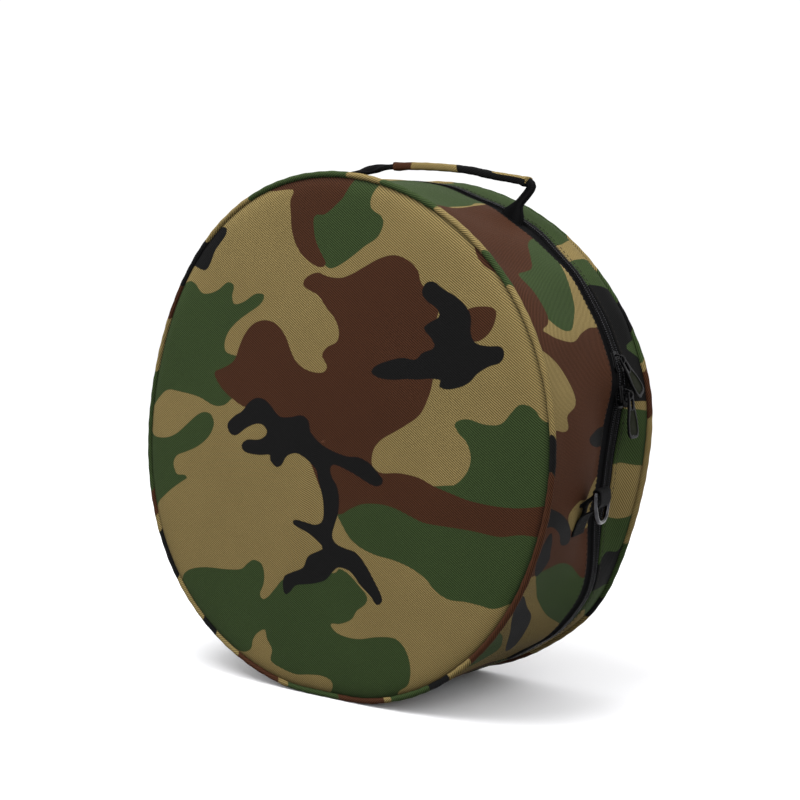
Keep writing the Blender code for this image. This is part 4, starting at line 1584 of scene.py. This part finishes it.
@dataclass
class Zipper(Assembly):
    """The long zipper: two tapes, two rows of coil teeth, top stitching and the strip under the hinge."""

    tape_radius: float = 0.1934
    line: float = 0.036
    half_run: float = 151.0
    tooth_pitch: float = 0.0015
    tooth_radius: float = 0.00052
    coil_seam: float = 0.0027
    coil_stitch_pitch: float = 0.0018
    stitch_pitch: float = 0.0040
    stitch_share: float = 0.60
    stitch_inset: float = 0.0019
    thread: float = 0.00024
    front_tape: float = 0.0180
    rear_tape: float = 0.0155

    def tape(self, rear: bool) -> None:
        """Build one tape.

        Args:
            rear: Whether it is the lid's.
        """
        side = "rear" if rear else "front"
        towards = 1.0 if rear else -1.0
        angle = np.linspace(-self.half_run - 1.5, self.half_run + 1.5, 420)
        width = self.rear_tape if rear else self.front_tape
        reach = np.concatenate([[0.0009], np.linspace(0.0015, width, 12)])
        thick = 0.0004
        upper = np.stack([reach, np.full_like(reach, thick)], axis=1)
        lower = np.stack([reach[::-1], np.full_like(reach, -thick)], axis=1)
        rows = np.concatenate([upper, lower])
        cord = 0.0004 * hump(rows[:, 0], 0.0022, 0.0012)
        places = self.form.at(angle[None, :], self.tape_radius + (rows[:, 1] + cord)[:, None],
                              self.line + towards * rows[:, 0][:, None])
        run = np.concatenate([reach, reach[-1] + 0.001 + reach[-1] - reach[::-1], [2 * reach[-1] + 0.002]])
        along = np.radians(angle - angle[0]) * self.tape_radius
        cloth = cloth_grid(run, along)[..., ::-1]
        made = Bench.sheet(f"zipper_tape_{side}_weave", places, cloth, tube=True)
        Bench.close_ends(made)
        self.fit(made, self.finishes.tape, "zipper_tape", "tray", (f"zipper_tape_{side}",),
                 HINGE_REACH if rear else None)

    def teeth(self, rear: bool) -> None:
        """Build one row of coil turns, set half a pitch off the other row's.

        Args:
            rear: Whether the row is the lid's.
        """
        side = "rear" if rear else "front"
        towards = 1.0 if rear else -1.0
        step = math.degrees(self.tooth_pitch / self.tape_radius)
        angle = np.arange(-self.half_run + (step / 2 if rear else 0.0), self.half_run, step)
        sides = 7
        turn = round_turn(sides)
        stations = np.array([(-0.00085, 0.0006, 0.75), (-0.0006, 0.0015, 1.0), (0.0010, 0.0019, 1.0),
                             (0.0028, 0.0017, 1.0), (0.0036, 0.0009, 0.9), (0.0038, 0.0001, 0.7)])
        rings = []
        for reach, height, wide in stations:
            depth = self.line + towards * reach + self.tooth_radius * wide * 0.3 * np.sin(turn)[None, :]
            radius = self.tape_radius + height + self.tooth_radius * wide * np.cos(turn)[None, :]
            lean = math.degrees(self.tooth_radius / self.tape_radius) * wide
            rings.append(self.form.at(angle[:, None] + lean * np.sin(turn)[None, :], radius, depth))
        made = Bench.links(f"zipper_coil_{side}_turns", np.stack(rings, axis=1))
        self.fit(made, self.finishes.coil, "zipper_coil", "tray", (f"zipper_coil_{side}",),
                 HINGE_REACH if rear else None)

    def sew(self, name: str, depth_of: Callable[[np.ndarray], np.ndarray], radius: float,
            span: tuple[float, float], pitch: float, share: float, material: bpy.types.Material,
            hinge: Optional[tuple[float, float]] = None, thread: float = 0.00034) -> None:
        """Sew a row of stitches round the bag.

        Args:
            name: The row's name.
            depth_of: Gives the row's place along the depth at each angle.
            radius: Distance from the axis of the cloth that it is sewn on.
            span: Where the row starts and ends, in degrees.
            pitch: The distance from one stitch to the next.
            share: How much of the pitch a stitch covers.
            material: The thread's finish.
            hinge: Hinge heights for a row on the lid's side; such a row is fastened to nothing.
            thread: The thread's radius.
        """
        step = math.degrees(pitch / radius)
        start = np.arange(span[0], span[1], step)
        end = start + step * share
        first = self.form.at(start, radius, depth_of(start))
        last = self.form.at(end, radius, depth_of(end))
        middle = (start + end) / 2
        depth = depth_of(middle)
        outward = unit(self.form.at(middle, radius + MM, depth) - self.form.at(middle, radius, depth))
        made = Bench.stitches(name, first, last, outward, thread)
        self.fit(made, material, "seam_binding", "tray", (), hinge)

    def hinge_strip(self, camouflage: Camouflage, front: Band, rear: Band) -> None:
        """Build the strip of cloth under the bag that joins both bands between the zipper's ends.

        Args:
            camouflage: The print.
            front: The front band, whose folded edge it runs under.
            rear: The rear band.
        """
        angle = np.linspace(self.half_run - 0.6, WHOLE_TURN - self.half_run + 0.6, 96)
        depth = np.linspace(front.zip_edge - 0.004, rear.zip_edge + 0.004, 16)
        places = self.form.at(angle[None, :], front.cloth_radius + 0.0004, depth[:, None])
        along = np.radians(angle - angle[0]) * front.cloth_radius
        cloth = cloth_grid(depth - depth[0], along)[..., ::-1]
        made = Bench.sheet("hinge_strip_cloth", places, cloth)
        spots = np.stack(np.broadcast_arrays(angle[None, :] * PER_DEGREE,
                                             (depth[:, None] - self.form.front_rim) / MM), axis=-1)
        camouflage.print_on(made, spots.reshape(-1, 2))
        self.fit(made, self.finishes.twill, "camouflage_fabric", "tray", ("hinge_panel",))

    def build(self, camouflage: Camouflage, front: Band, rear: Band) -> None:
        """Build the whole zipper and its stitching.

        Args:
            camouflage: The print of the strip under the hinge.
            front: The front band.
            rear: The rear band.
        """
        for is_rear in (False, True):
            self.tape(is_rear)
            self.teeth(is_rear)
        span = (-self.half_run, self.half_run)
        self.sew("front_zip_stitching", lambda a: front.zip_line(a % WHOLE_TURN) - self.stitch_inset,
                 front.cloth_radius + 0.0001, span, self.stitch_pitch, self.stitch_share,
                 self.finishes.thread, None, self.thread)
        self.sew("rear_zip_stitching", lambda a: np.full_like(a, rear.zip_edge + self.stitch_inset),
                 rear.cloth_radius + 0.0001, span, self.stitch_pitch, self.stitch_share,
                 self.finishes.thread, HINGE_REACH, self.thread)
        for side, towards in (("front", -1.0), ("rear", 1.0)):
            self.sew(f"{side}_coil_stitching",
                     lambda a, t=towards: np.full_like(a, self.line + t * self.coil_seam),
                     self.tape_radius + 0.0023, span, self.coil_stitch_pitch, 0.55, self.finishes.coil_thread,
                     HINGE_REACH if towards > 0 else None, 0.00026)
        self.hinge_strip(camouflage, front, rear)


@dataclass
class Slider(Assembly):
    """One zipper slider with its pull: two plates, a bridge, and a bordered tab that flips."""

    which: str = "upper"
    joint: str = "pull_upper_flip"
    length: float = 0.0165
    width: float = 0.0108
    plate: float = 0.0016
    seat_radius: float = 0.1924
    stand: float = 0.0030
    tab_narrow: float = 0.0038
    tab_wide: float = 0.0074
    tab_thickness: float = 0.0018

    @property
    def body(self) -> str:
        """Return the slider's own body."""
        return f"slider_{self.which}"

    def facts(self) -> tuple[Vector, Vector, Matrix]:
        """Return the pull's pivot, its axis and the slider's seat from the frame."""
        found = next(j for j in frame["record"]["behaviour"]["joints"] if j["name"] == self.joint)
        pivot, axis = Vector(found["pos_m"]), Vector(found["axis"]).normalized()
        low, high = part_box(self.body)
        middle = (low + high) / 2
        angle = math.degrees(math.atan2(middle.x, middle.z - self.form.axis_height))
        turn = math.radians(angle)
        out = Vector((math.sin(turn), 0.0, math.cos(turn)))
        along = Vector((math.cos(turn), 0.0, -math.sin(turn)))
        seat = Matrix((along, out.cross(along), out)).transposed().to_4x4()
        seat.translation = Vector((0.0, middle.y, self.form.axis_height)) + out * self.seat_radius
        return pivot, axis, seat

    def build(self) -> None:
        """Build the slider's cast body and its pull."""
        pivot, axis, seat = self.facts()
        half, wide = self.length / 2, self.width / 2
        nose = [(half * 0.98, wide * 0.30), (half * 0.86, wide * 0.86), (half * 0.45, wide),
                (-half * 0.30, wide * 0.82), (-half * 0.86, wide * 0.74), (-half, wide * 0.45)]
        outline = nose + [(x, -y) for x, y in reversed(nose)]
        outline = smooth_loop(outline, 4).tolist()
        upper = Matrix.Translation((0, 0, self.stand + self.plate / 2))
        parts = [Bench.plate("slider_top", outline, self.plate, 0.00045, (), seat @ upper)]
        lower = Matrix.Translation((0, 0, -0.0016))
        parts.append(Bench.plate("slider_bottom", outline, 0.0012, 0.0003, (), seat @ lower))
        post = [(half * 0.80, wide * 0.16), (half * 0.80, -wide * 0.16), (half * 0.35, 0.0)]
        parts.append(Bench.plate("slider_post", post, 0.0046, 0.0002, (),
                                 seat @ Matrix.Translation((0, 0, 0.0007))))
        local = seat.inverted() @ pivot
        rise = max(local.z, self.stand + self.plate + 0.0012)
        top = self.stand + self.plate
        bridge = smooth_run([(local.x - 0.0048, 0, top - 0.0006), (local.x - 0.0042, 0, top + 0.0012),
                             (local.x - 0.0018, 0, rise + 0.0013), (local.x + 0.0016, 0, rise + 0.0013),
                             (local.x + 0.0040, 0, top + 0.0012), (local.x + 0.0046, 0, top - 0.0006)], 22)
        points = np.array([seat @ Vector(p) for p in bridge])
        parts.append(Bench.tube("slider_bridge", points, 0.0010, 12, 0.75, seat.to_3x3() @ Vector((0, 1, 0))))
        for lip in (-1.0, 1.0):
            edge = smooth_run([(half * along, lip * wide * out, 0.0025)
                               for along, out in ((-0.9, 0.70), (-0.2, 0.82), (0.5, 0.93))], 12)
            points = np.array([seat @ Vector(p) for p in edge])
            parts.append(Bench.tube("slider_lip", points, 0.0007, 8, 1.6, seat.to_3x3() @ Vector((0, 1, 0))))
        made = Bench.join(f"zip_slider_{self.which}", parts)
        self.fit(made, self.finishes.slider, "slider_metal", self.body, (self.body,))
        self.build_pull(pivot, axis)

    def build_pull(self, pivot: Vector, axis: Vector) -> None:
        """Build the pull: a tab with a raised border, an eye at the bridge and a sunk middle.

        Args:
            pivot: Where it hangs on the bridge.
            axis: The pin line that it flips about.
        """
        low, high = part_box(f"pull_{self.which}")
        reach = (low + high) / 2 - pivot
        reach -= axis * reach.dot(axis)
        along = reach.normalized()
        out = along.cross(axis)
        if out.x < 0:
            out, axis = -out, -axis
        seat = Matrix((along, axis, out)).transposed().to_4x4()
        seat.translation = pivot
        tip = reach.length * 2 - 0.0012
        narrow, wide = self.tab_narrow, self.tab_wide
        side = [(-0.0024, narrow * 0.55), (-0.0012, narrow * 0.92), (0.004, narrow),
                (tip * 0.30, narrow * 1.20), (tip * 0.60, wide * 0.92), (tip * 0.84, wide),
                (tip * 0.96, wide * 0.84), (tip, wide * 0.50)]
        outline = side + [(x, -y) for x, y in reversed(side)]
        eye = [(0.0052 - 0.0062 * math.cos(t), 0.0018 * math.sin(t)) for t in round_turn(20)]
        sunk_half = [(tip * 0.36, narrow * 0.78), (tip * 0.62, wide * 0.72), (tip * 0.84, wide * 0.76),
                     (tip * 0.92, wide * 0.56)]
        sunk = sunk_half + [(x, -y) for x, y in reversed(sunk_half)]
        body = f"pull_{self.which}"
        border = Bench.plate(f"zip_{body}", outline, self.tab_thickness, 0.00045, (eye, sunk), seat)
        self.fit(border, self.finishes.slider, "slider_metal", body, (body,))
        # a dark olive piece set in the tab's sunk middle
        insert = Bench.plate(f"zip_{body}_insert", [(x, y * 1.08) for x, y in sunk],
                             self.tab_thickness * 0.4, 0.0002, (), seat)
        self.fit(insert, self.finishes.insert, "slider_metal", body)


# ---------------------------------------------------------------- handle and rings


@dataclass
class Handle(Assembly):
    """The carrying handle: one webbing folded along the grip, its wrapped sleeve and its sewn ends."""

    flat_half: float = 0.0105
    folded_half: float = 0.0034
    flat_thick: float = 0.0014
    folded_thick: float = 0.0021
    blend_low: float = 0.3650
    blend_high: float = 0.3800
    grip_drop: float = 0.0178
    sleeve_cut: tuple[float, float] = (0.022, 0.116)
    sleeve_area: float = 0.0024

    def line(self) -> tuple[np.ndarray, np.ndarray, np.ndarray]:
        """Return the webbing's middle line, its half width and half thickness along it."""
        low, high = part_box("handle_webbing")
        depth = (low.y + high.y) / 2
        top, reach = high.z - 0.0035, high.x
        end_low, end_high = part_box("handle_end_right")
        foot = Vector(((end_low.x + end_high.x) / 2, (end_low.z + end_high.z) / 2))
        up = Vector((foot.x, foot.y - self.form.axis_height)).normalized()
        inside, root, waist = foot - up * 0.008, foot + up * 0.004, foot + up * 0.0125
        leg = [(inside.x, depth + 0.001, inside.y), (root.x, depth, root.y), (waist.x, depth, waist.y)]
        over = [(reach - 0.0035, depth, top - 0.0262), (reach + 0.0006, depth, top - 0.0205),
                (reach - 0.0030, depth, top - 0.0172), (reach - 0.0140, depth, top - 0.0145),
                (0.082, depth, top - 0.0108), (0.0558, depth, top - 0.0052),
                (0.014, depth, top - 0.0008), (-0.020, depth, top - 0.0002), (-0.050, depth, top - 0.0036),
                (-0.080, depth, top - 0.0110), (-reach + 0.010, depth, top - 0.0190),
                (-reach + 0.0030, depth, top - 0.0262)]
        knots = [(-x, y, z) for x, y, z in leg] + over[::-1] + leg[::-1]
        path = smooth_run(knots, 190)
        along = np.linspace(0.0, 1.0, len(path))
        spread = 1.0 - ease(along, 0.030, 0.074) + ease(along, 0.926, 0.970)
        half = self.folded_half + (self.flat_half - self.folded_half) * spread
        thick = self.folded_thick + (self.flat_thick - self.folded_thick) * spread
        return path, half, thick

    def ribbon(self, name: str, path: np.ndarray, half: np.ndarray, thick: np.ndarray,
               twist: np.ndarray) -> bpy.types.Object:
        """Sweep a flat section with round edges along a path.

        Args:
            name: The piece's name.
            path: The middle line.
            half: Half its width at each place.
            thick: Half its thickness at each place.
            twist: How far the width is turned from the bag's depth, in degrees.

        Returns:
            The object.
        """
        _, side, other = Bench.frames(path, np.array((0.0, 1.0, 0.0)))
        c, s = np.cos(np.radians(twist))[:, None], np.sin(np.radians(twist))[:, None]
        wide, deep = c * side + s * other, -s * side + c * other
        turn = round_turn(20)
        flat_x = np.sign(np.cos(turn)) * np.abs(np.cos(turn)) ** 0.35
        flat_y = np.sign(np.sin(turn)) * np.abs(np.sin(turn)) ** 0.7
        rings = sections(path, half[:, None] * wide, thick[:, None] * deep, (flat_x, flat_y))
        along = run_lengths(path)
        around = np.linspace(0.0, 4 * float(half.mean()), len(turn) + 1)
        return Bench.closed(name, rings, cloth_grid(along, around))

    def build(self) -> None:
        """Build the webbing, the sleeve and the sewn ends."""
        path, half, thick = self.line()
        along = np.linspace(0.0, 1.0, len(path))
        twist = 90.0 * (1.0 - ease(along, 0.08, 0.16) + ease(along, 0.82, 0.90))
        twist = twist + 80.0 * hump(along, 0.38, 0.035)
        webbing = self.ribbon("handle_webbing_strap", path, half, thick, twist)
        webbing.data.materials.append(self.finishes.webbing)
        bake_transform(webbing)
        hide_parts("handle_webbing", "handle_end_right", "handle_end_left")
        LOG.info("%s: blended from tray to handle", webbing.name)
        self.build_sleeve(path)
        self.build_ends()

    def build_sleeve(self, path: np.ndarray) -> None:
        """Build the cloth wrapped and sewn round the grip.

        Args:
            path: The webbing's middle line.
        """
        low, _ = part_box("handle_sleeve")
        across, high = path[:, 0], path[:, 2]
        grip = path[(across >= low.x) & (across < across.max()) & (high > high.max() - self.grip_drop)]
        line = smooth_run(grip, 90)
        along = np.linspace(0.0, 1.0, len(line))
        wrinkle = 1.0 + 0.03 * np.sin(along * 57.0) + 0.02 * np.sin(along * 131.0 + 1.0)
        roll = hump(along, 0.0, 0.03) + 2.0 * hump(along, 0.985, 0.018)
        half = (0.0050 + 0.0004 * roll) * wrinkle
        thick = (0.0030 + 0.0004 * roll + 0.0003 * ease(along, 0.5, 1.0)) * wrinkle
        made = self.ribbon("handle_sleeve_wrap", line, half, thick, np.zeros(len(line)))
        points = np.array([v.co for v in made.data.vertices])
        share = (points[:, 0] - line[0][0]) / (line[-1][0] - line[0][0])
        run = share * 118.0
        top = (points[:, 2] - np.interp(points[:, 0], line[:, 0], line[:, 2])) * 1000
        lengths = ((Ink.GREEN, -60.0, -50.0), (Ink.BROWN, -20.0, 17.0), (Ink.BLACK, 59.0, 140.0))
        for ink, start, end in lengths:
            depth = np.minimum(run - start, end - run) + 0.25 * top
            if ink is Ink.BLACK:
                depth = np.minimum(depth, 3.0 - 9.0 * ease(run, 84.0, 98.0) * np.maximum(top - 1.6, 0.0))
            write_layer(made, ink.value, np.clip(depth, -INK_REACH, INK_REACH))
        self.fit(made, self.finishes.twill, "camouflage_fabric", "handle", ("handle_sleeve",))

    def build_ends(self) -> None:
        """Sew a short bar across each end of the webbing where it enters the seam."""
        for side in ("right", "left"):
            low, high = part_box(f"handle_end_{side}")
            middle = (low + high) / 2
            angle = math.degrees(math.atan2(middle.x, middle.z - self.form.axis_height))
            rows = np.linspace(angle - 2.6, angle + 2.6, 14)
            depth = high.y + 0.0006
            first = self.form.at(rows, self.form.rim_radius - 0.0035, depth - 0.0030)
            last = self.form.at(rows, self.form.rim_radius - 0.0035, depth)
            outward = unit(self.form.at(rows, self.form.rim_radius, depth) - last)
            made = Bench.stitches(f"handle_bar_tack_{side}", first, last, outward, 0.0003)
            self.fit(made, self.finishes.dark_thread, "webbing", "tray")


@dataclass
class CarryRing(Assembly):
    """One ring for a shoulder strap, held in a loop of webbing that is sewn to the band."""

    right: bool = True
    wire: float = 0.00175
    wire_sides: int = 14
    web_thick: float = 0.0007
    inset: float = 0.0015
    yaw: float = 10.0

    def settle(self, places: np.ndarray, bar: Vector, sign: float) -> np.ndarray:
        """Turn and sink places with the dented cloth that carries the ring.

        Args:
            places: The places, with x, y and z last.
            bar: The middle of the ring's straight bar.
            sign: Which side of the bag they lie on.

        Returns:
            The settled places.
        """
        turn = math.radians(self.yaw) * sign if self.right else 0.0
        out, back = places[..., 0] - bar.x, places[..., 1] - bar.y
        sunk = sign * self.inset * self.right
        return np.stack([bar.x + out * math.cos(turn) - back * math.sin(turn) - sunk,
                         bar.y + out * math.sin(turn) + back * math.cos(turn), places[..., 2]], axis=-1)

    def build(self) -> None:
        """Build the ring and its loop."""
        side = "right" if self.right else "left"
        sign = 1.0 if self.right else -1.0
        low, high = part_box(f"d_ring_{side}")
        bar = (high.z - 0.0012, (low.x + high.x) / 2)
        middle = (low.y + high.y) / 2
        half = (high.y - low.y) / 2 - self.wire
        drop = high.z - low.z - 2 * self.wire
        top = high.z - self.wire
        corner = 0.0035
        loop = [(-half + corner, 0.0), (half - corner, 0.0), (half - 0.0008, -0.0008), (half, -corner),
                (half * 0.97, -drop * 0.45), (half * 0.72, -drop * 0.80), (half * 0.32, -drop * 0.97),
                (-half * 0.32, -drop * 0.97), (-half * 0.72, -drop * 0.80), (-half * 0.97, -drop * 0.45),
                (-half, -corner), (-half + 0.0008, -0.0008)]
        line = smooth_loop(loop, 8)
        hinge = Vector((bar[1], middle, top))
        path = self.settle(np.array([(bar[1], middle + y, top + z) for y, z in line]), hinge, sign)
        made = self.closed_wire(f"strap_ring_{side}", path, sign)
        self.fit(made, self.finishes.ring, "ring_metal", f"d_ring_{side}", (f"d_ring_{side}",))
        self.build_tab(side, sign, hinge)

    def closed_wire(self, name: str, path: np.ndarray, sign: float) -> bpy.types.Object:
        """Sweep the ring's wire round its closed line.

        Args:
            name: The piece's name.
            path: The closed line.
            sign: Which side of the bag it hangs on.

        Returns:
            The object.
        """
        steps = unit(np.roll(path, -1, axis=0) - np.roll(path, 1, axis=0))
        out = np.tile(np.array((sign, 0.0, 0.0)), (len(path), 1))
        other = np.cross(steps, out)
        rings = sections(path, self.wire * out, self.wire * other, circle(self.wire_sides))
        return Bench.closed(name, rings, np.zeros((len(path) + 1, self.wire_sides + 1, 2)), tube=True)

    def build_tab(self, side: str, sign: float, bar: Vector) -> None:
        """Build the webbing loop: down the band, round the ring's bar and down again over itself.

        Args:
            side: Which side of the bag, for its name.
            sign: The same, as a direction.
            bar: The middle of the ring's straight bar.
        """
        low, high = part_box(f"ring_tab_{side}")
        middle, half = (low.y + high.y) / 2, (high.y - low.y) / 2
        grow = self.wire + self.web_thick + 0.0004

        def wall(height: float) -> float:
            """Return how far out the band's cloth lies at a height."""
            rise = (height - self.form.axis_height) / self.form.rim_radius
            angle = math.degrees(math.acos(np.clip(rise, -1, 1)))
            angle = angle if sign > 0 else WHOLE_TURN - angle
            return float(abs(self.form.at(angle, 0.1952, middle)[0]))

        foot, neck = low.z + 0.001, bar.z - 0.010
        reach = abs(bar.x)
        knots = [(wall(foot) + 0.0009, foot), (wall(foot + 0.012) + 0.0009, foot + 0.012),
                 (wall(neck) + 0.0016, neck), (reach - grow * 1.05, bar.z - 0.0015),
                 (reach - grow * 0.8, bar.z + grow * 0.62), (reach, bar.z + grow),
                 (reach + grow * 0.8, bar.z + grow * 0.55), (reach + grow, bar.z - 0.001),
                 (reach + grow * 0.45, neck + 0.001), (wall(foot + 0.014) + 0.0052, foot + 0.014),
                 (wall(foot + 0.004) + 0.0028, foot + 0.004), (wall(foot) + 0.0026, foot - 0.0004)]
        fold = smooth_run(knots, 64)
        centre = np.stack([sign * fold[:, 0], np.full(len(fold), middle), fold[:, 1]], axis=1)
        steps = unit(np.gradient(centre, axis=0))
        wide = np.array((0.0, 1.0, 0.0))
        out = np.cross(steps, wide)
        across = np.linspace(-1.0, 1.0, 13)
        rows = [(a * half, self.web_thick) for a in across]
        rows += [(a * half, -self.web_thick) for a in across[::-1]]
        narrow = 1.0 - 0.10 * hump(fold[:, 1], bar.z + grow, 0.012)
        rings = np.stack([centre + (w * narrow)[:, None] * wide
                          + t * (1 - 0.35 * (abs(w) > 0.99 * half)) * out for w, t in rows], axis=1)
        rings = self.settle(rings, bar, sign)
        along = run_lengths(centre)
        around = np.linspace(0.0, 4 * half, len(rows) + 1)
        made = Bench.closed(f"ring_loop_{side}", rings, cloth_grid(along, around))
        self.fit(made, self.finishes.webbing, "webbing", "tray", (f"ring_tab_{side}",))
        self.sew_tab(side, sign, centre, foot, middle, half, bar)

    def sew_tab(self, side: str, sign: float, centre: np.ndarray, foot: float, middle: float, half: float,
                bar: Vector) -> None:
        """Sew two bars across the loop's foot.

        Args:
            side: Which side of the bag, for the name.
            sign: The same, as a direction.
            centre: The loop's middle line, which ends at its outer foot.
            foot: The foot's height.
            middle: The loop's middle along the depth.
            half: Half its width.
            bar: The middle of the ring's straight bar.
        """
        outer = centre[len(centre) // 2:]
        starts, ends = [], []
        for rise in (0.0022, 0.0080):
            height = foot + rise
            face = float(np.interp(-height, -outer[:, 2], np.abs(outer[:, 0]))) + self.web_thick
            for y in np.linspace(middle - half * 0.86, middle + half * 0.80, 9):
                starts.append((sign * face, y, height))
                ends.append((sign * face, y + 0.0018, height))
        outward = np.tile(np.array((sign, 0.0, 0.0)), (len(starts), 1))
        first, last = (self.settle(np.array(row), bar, sign) for row in (starts, ends))
        made = Bench.stitches(f"ring_loop_stitching_{side}", first, last, outward, 0.00034)
        self.fit(made, self.finishes.dark_thread, "webbing", "tray")


# ---------------------------------------------------------------- studio


@dataclass
class Studio:
    """A pale floor, soft lights and the camera."""

    eye: tuple[float, float, float] = (0.695, -0.918, 0.313)
    turn: float = 36.51
    dip: float = 4.48
    lens: float = 66.2
    floor_size: float = 60.0

    def floor(self) -> None:
        """Lay the floor."""
        bpy.ops.mesh.primitive_grid_add(x_subdivisions=40, y_subdivisions=40, size=self.floor_size)
        made = bpy.context.object
        made.name = "studio_floor"
        made.data.materials.append(PaleFloor().make())
        made.visible_diffuse = False

    def lamp(self, name: str, place: tuple[float, float, float], aim: tuple[float, float, float],
             size: float, power: float) -> None:
        """Hang a soft square lamp.

        Args:
            name: Its name.
            place: Where it hangs.
            aim: What it points at.
            size: Its side.
            power: Its light, in watts.
        """
        data = bpy.data.lights.new(name, "AREA")
        data.shape, data.size, data.energy = "SQUARE", size, power
        made = bpy.data.objects.new(name, data)
        made.location = place
        made.rotation_euler = (Vector(aim) - Vector(place)).to_track_quat("-Z", "Y").to_euler()
        bpy.context.scene.collection.objects.link(made)

    def world(self) -> None:
        """Set the room's own light: white from the horizon up and dim from below."""
        room = bpy.data.worlds.new("studio_room")
        bpy.context.scene.world = room
        room.use_nodes = True
        nodes, links = room.node_tree.nodes, room.node_tree.links
        place = nodes.new("ShaderNodeTexCoord")
        apart = nodes.new("ShaderNodeSeparateXYZ")
        spread = nodes.new("ShaderNodeMapRange")
        links.new(place.outputs["Generated"], apart.inputs[0])
        links.new(apart.outputs[2], spread.inputs[0])
        for socket, value in zip(spread.inputs[1:5], (-0.08, -0.045, 0.0, 1.06)):
            socket.default_value = value
        back = nodes["Background"]
        back.inputs[0].default_value = (1.0, 1.0, 1.0, 1.0)
        links.new(spread.outputs[0], back.inputs[1])

    def camera(self) -> None:
        """Set up the camera."""
        data = bpy.data.cameras.new("camera")
        data.lens, data.sensor_width, data.clip_end = self.lens, 36.0, 50.0
        made = bpy.data.objects.new("camera", data)
        made.location = self.eye
        made.rotation_euler = (math.radians(90 - self.dip), 0.0, math.radians(self.turn))
        bpy.context.scene.collection.objects.link(made)
        bpy.context.scene.camera = made

    def build(self) -> None:
        """Set up the whole studio."""
        self.camera()
        self.floor()
        self.world()
        self.lamp("overhead_softbox", (-0.10, -0.75, 1.75), (0.0, 0.0, 0.2), 1.1, 26.0)
        self.lamp("front_fill", (0.5, -2.6, 0.9), (0.0, 0.0, 0.2), 1.6, 8.0)
        self.lamp("right_softbox", (1.5, -0.3, 1.2), (0.1, 0.0, 0.25), 0.9, 9.0)
        scene = bpy.context.scene
        scene.view_settings.view_transform = "Standard"
        scene.view_settings.look = "None"


def whole_band_print() -> Camouflage:
    """Lay the band's print: its own patches on the right, and more of the same cloth round the rest."""
    right = tuple(Patch(p.ink, tuple((a * PER_DEGREE, y) for a, y in p.outline)) for p in BAND_PRINT)
    under = tuple(p.moved(right=685.0, up=66.0, turn=90.0, size=0.85) for p in FRONT_PRINT)
    left = tuple(p.moved(right=1010.0, up=60.0, turn=180.0, flip=True, size=0.85) for p in FRONT_PRINT)
    return Camouflage(right + tuple(under) + tuple(left), repeat=WHOLE_TURN * PER_DEGREE)


def main() -> None:
    """Build every sub-assembly in order and set up the studio."""
    logging.basicConfig(level=logging.INFO, format="%(name)s: %(message)s")
    studio = Studio()
    studio.build()
    form = SoftForm.from_frame()
    finishes = Finishes()
    band_print = whole_band_print()
    rear_print = Camouflage(tuple(p.moved(right=24.0, up=-30.0, turn=150.0, flip=True) for p in FRONT_PRINT))
    Cover(form, finishes).build(Camouflage(FRONT_PRINT))
    Cover(form, finishes, rear=True).build(rear_print)
    front_band = Band(form, finishes)
    rear_band = Band(form, finishes, rear=True, zip_edge=0.0425)
    front_band.build(band_print)
    rear_band.build(band_print)
    for rear in (False, True):
        Piping(form, finishes, rear=rear).build()
    Zipper(form, finishes).build(band_print, front_band, rear_band)
    for which in ("upper", "lower"):
        Slider(form, finishes, which=which, joint=f"pull_{which}_flip").build()
    Handle(form, finishes).build()
    for right in (True, False):
        CarryRing(form, finishes, right=right).build()


if __name__ == "__main__":
    main()
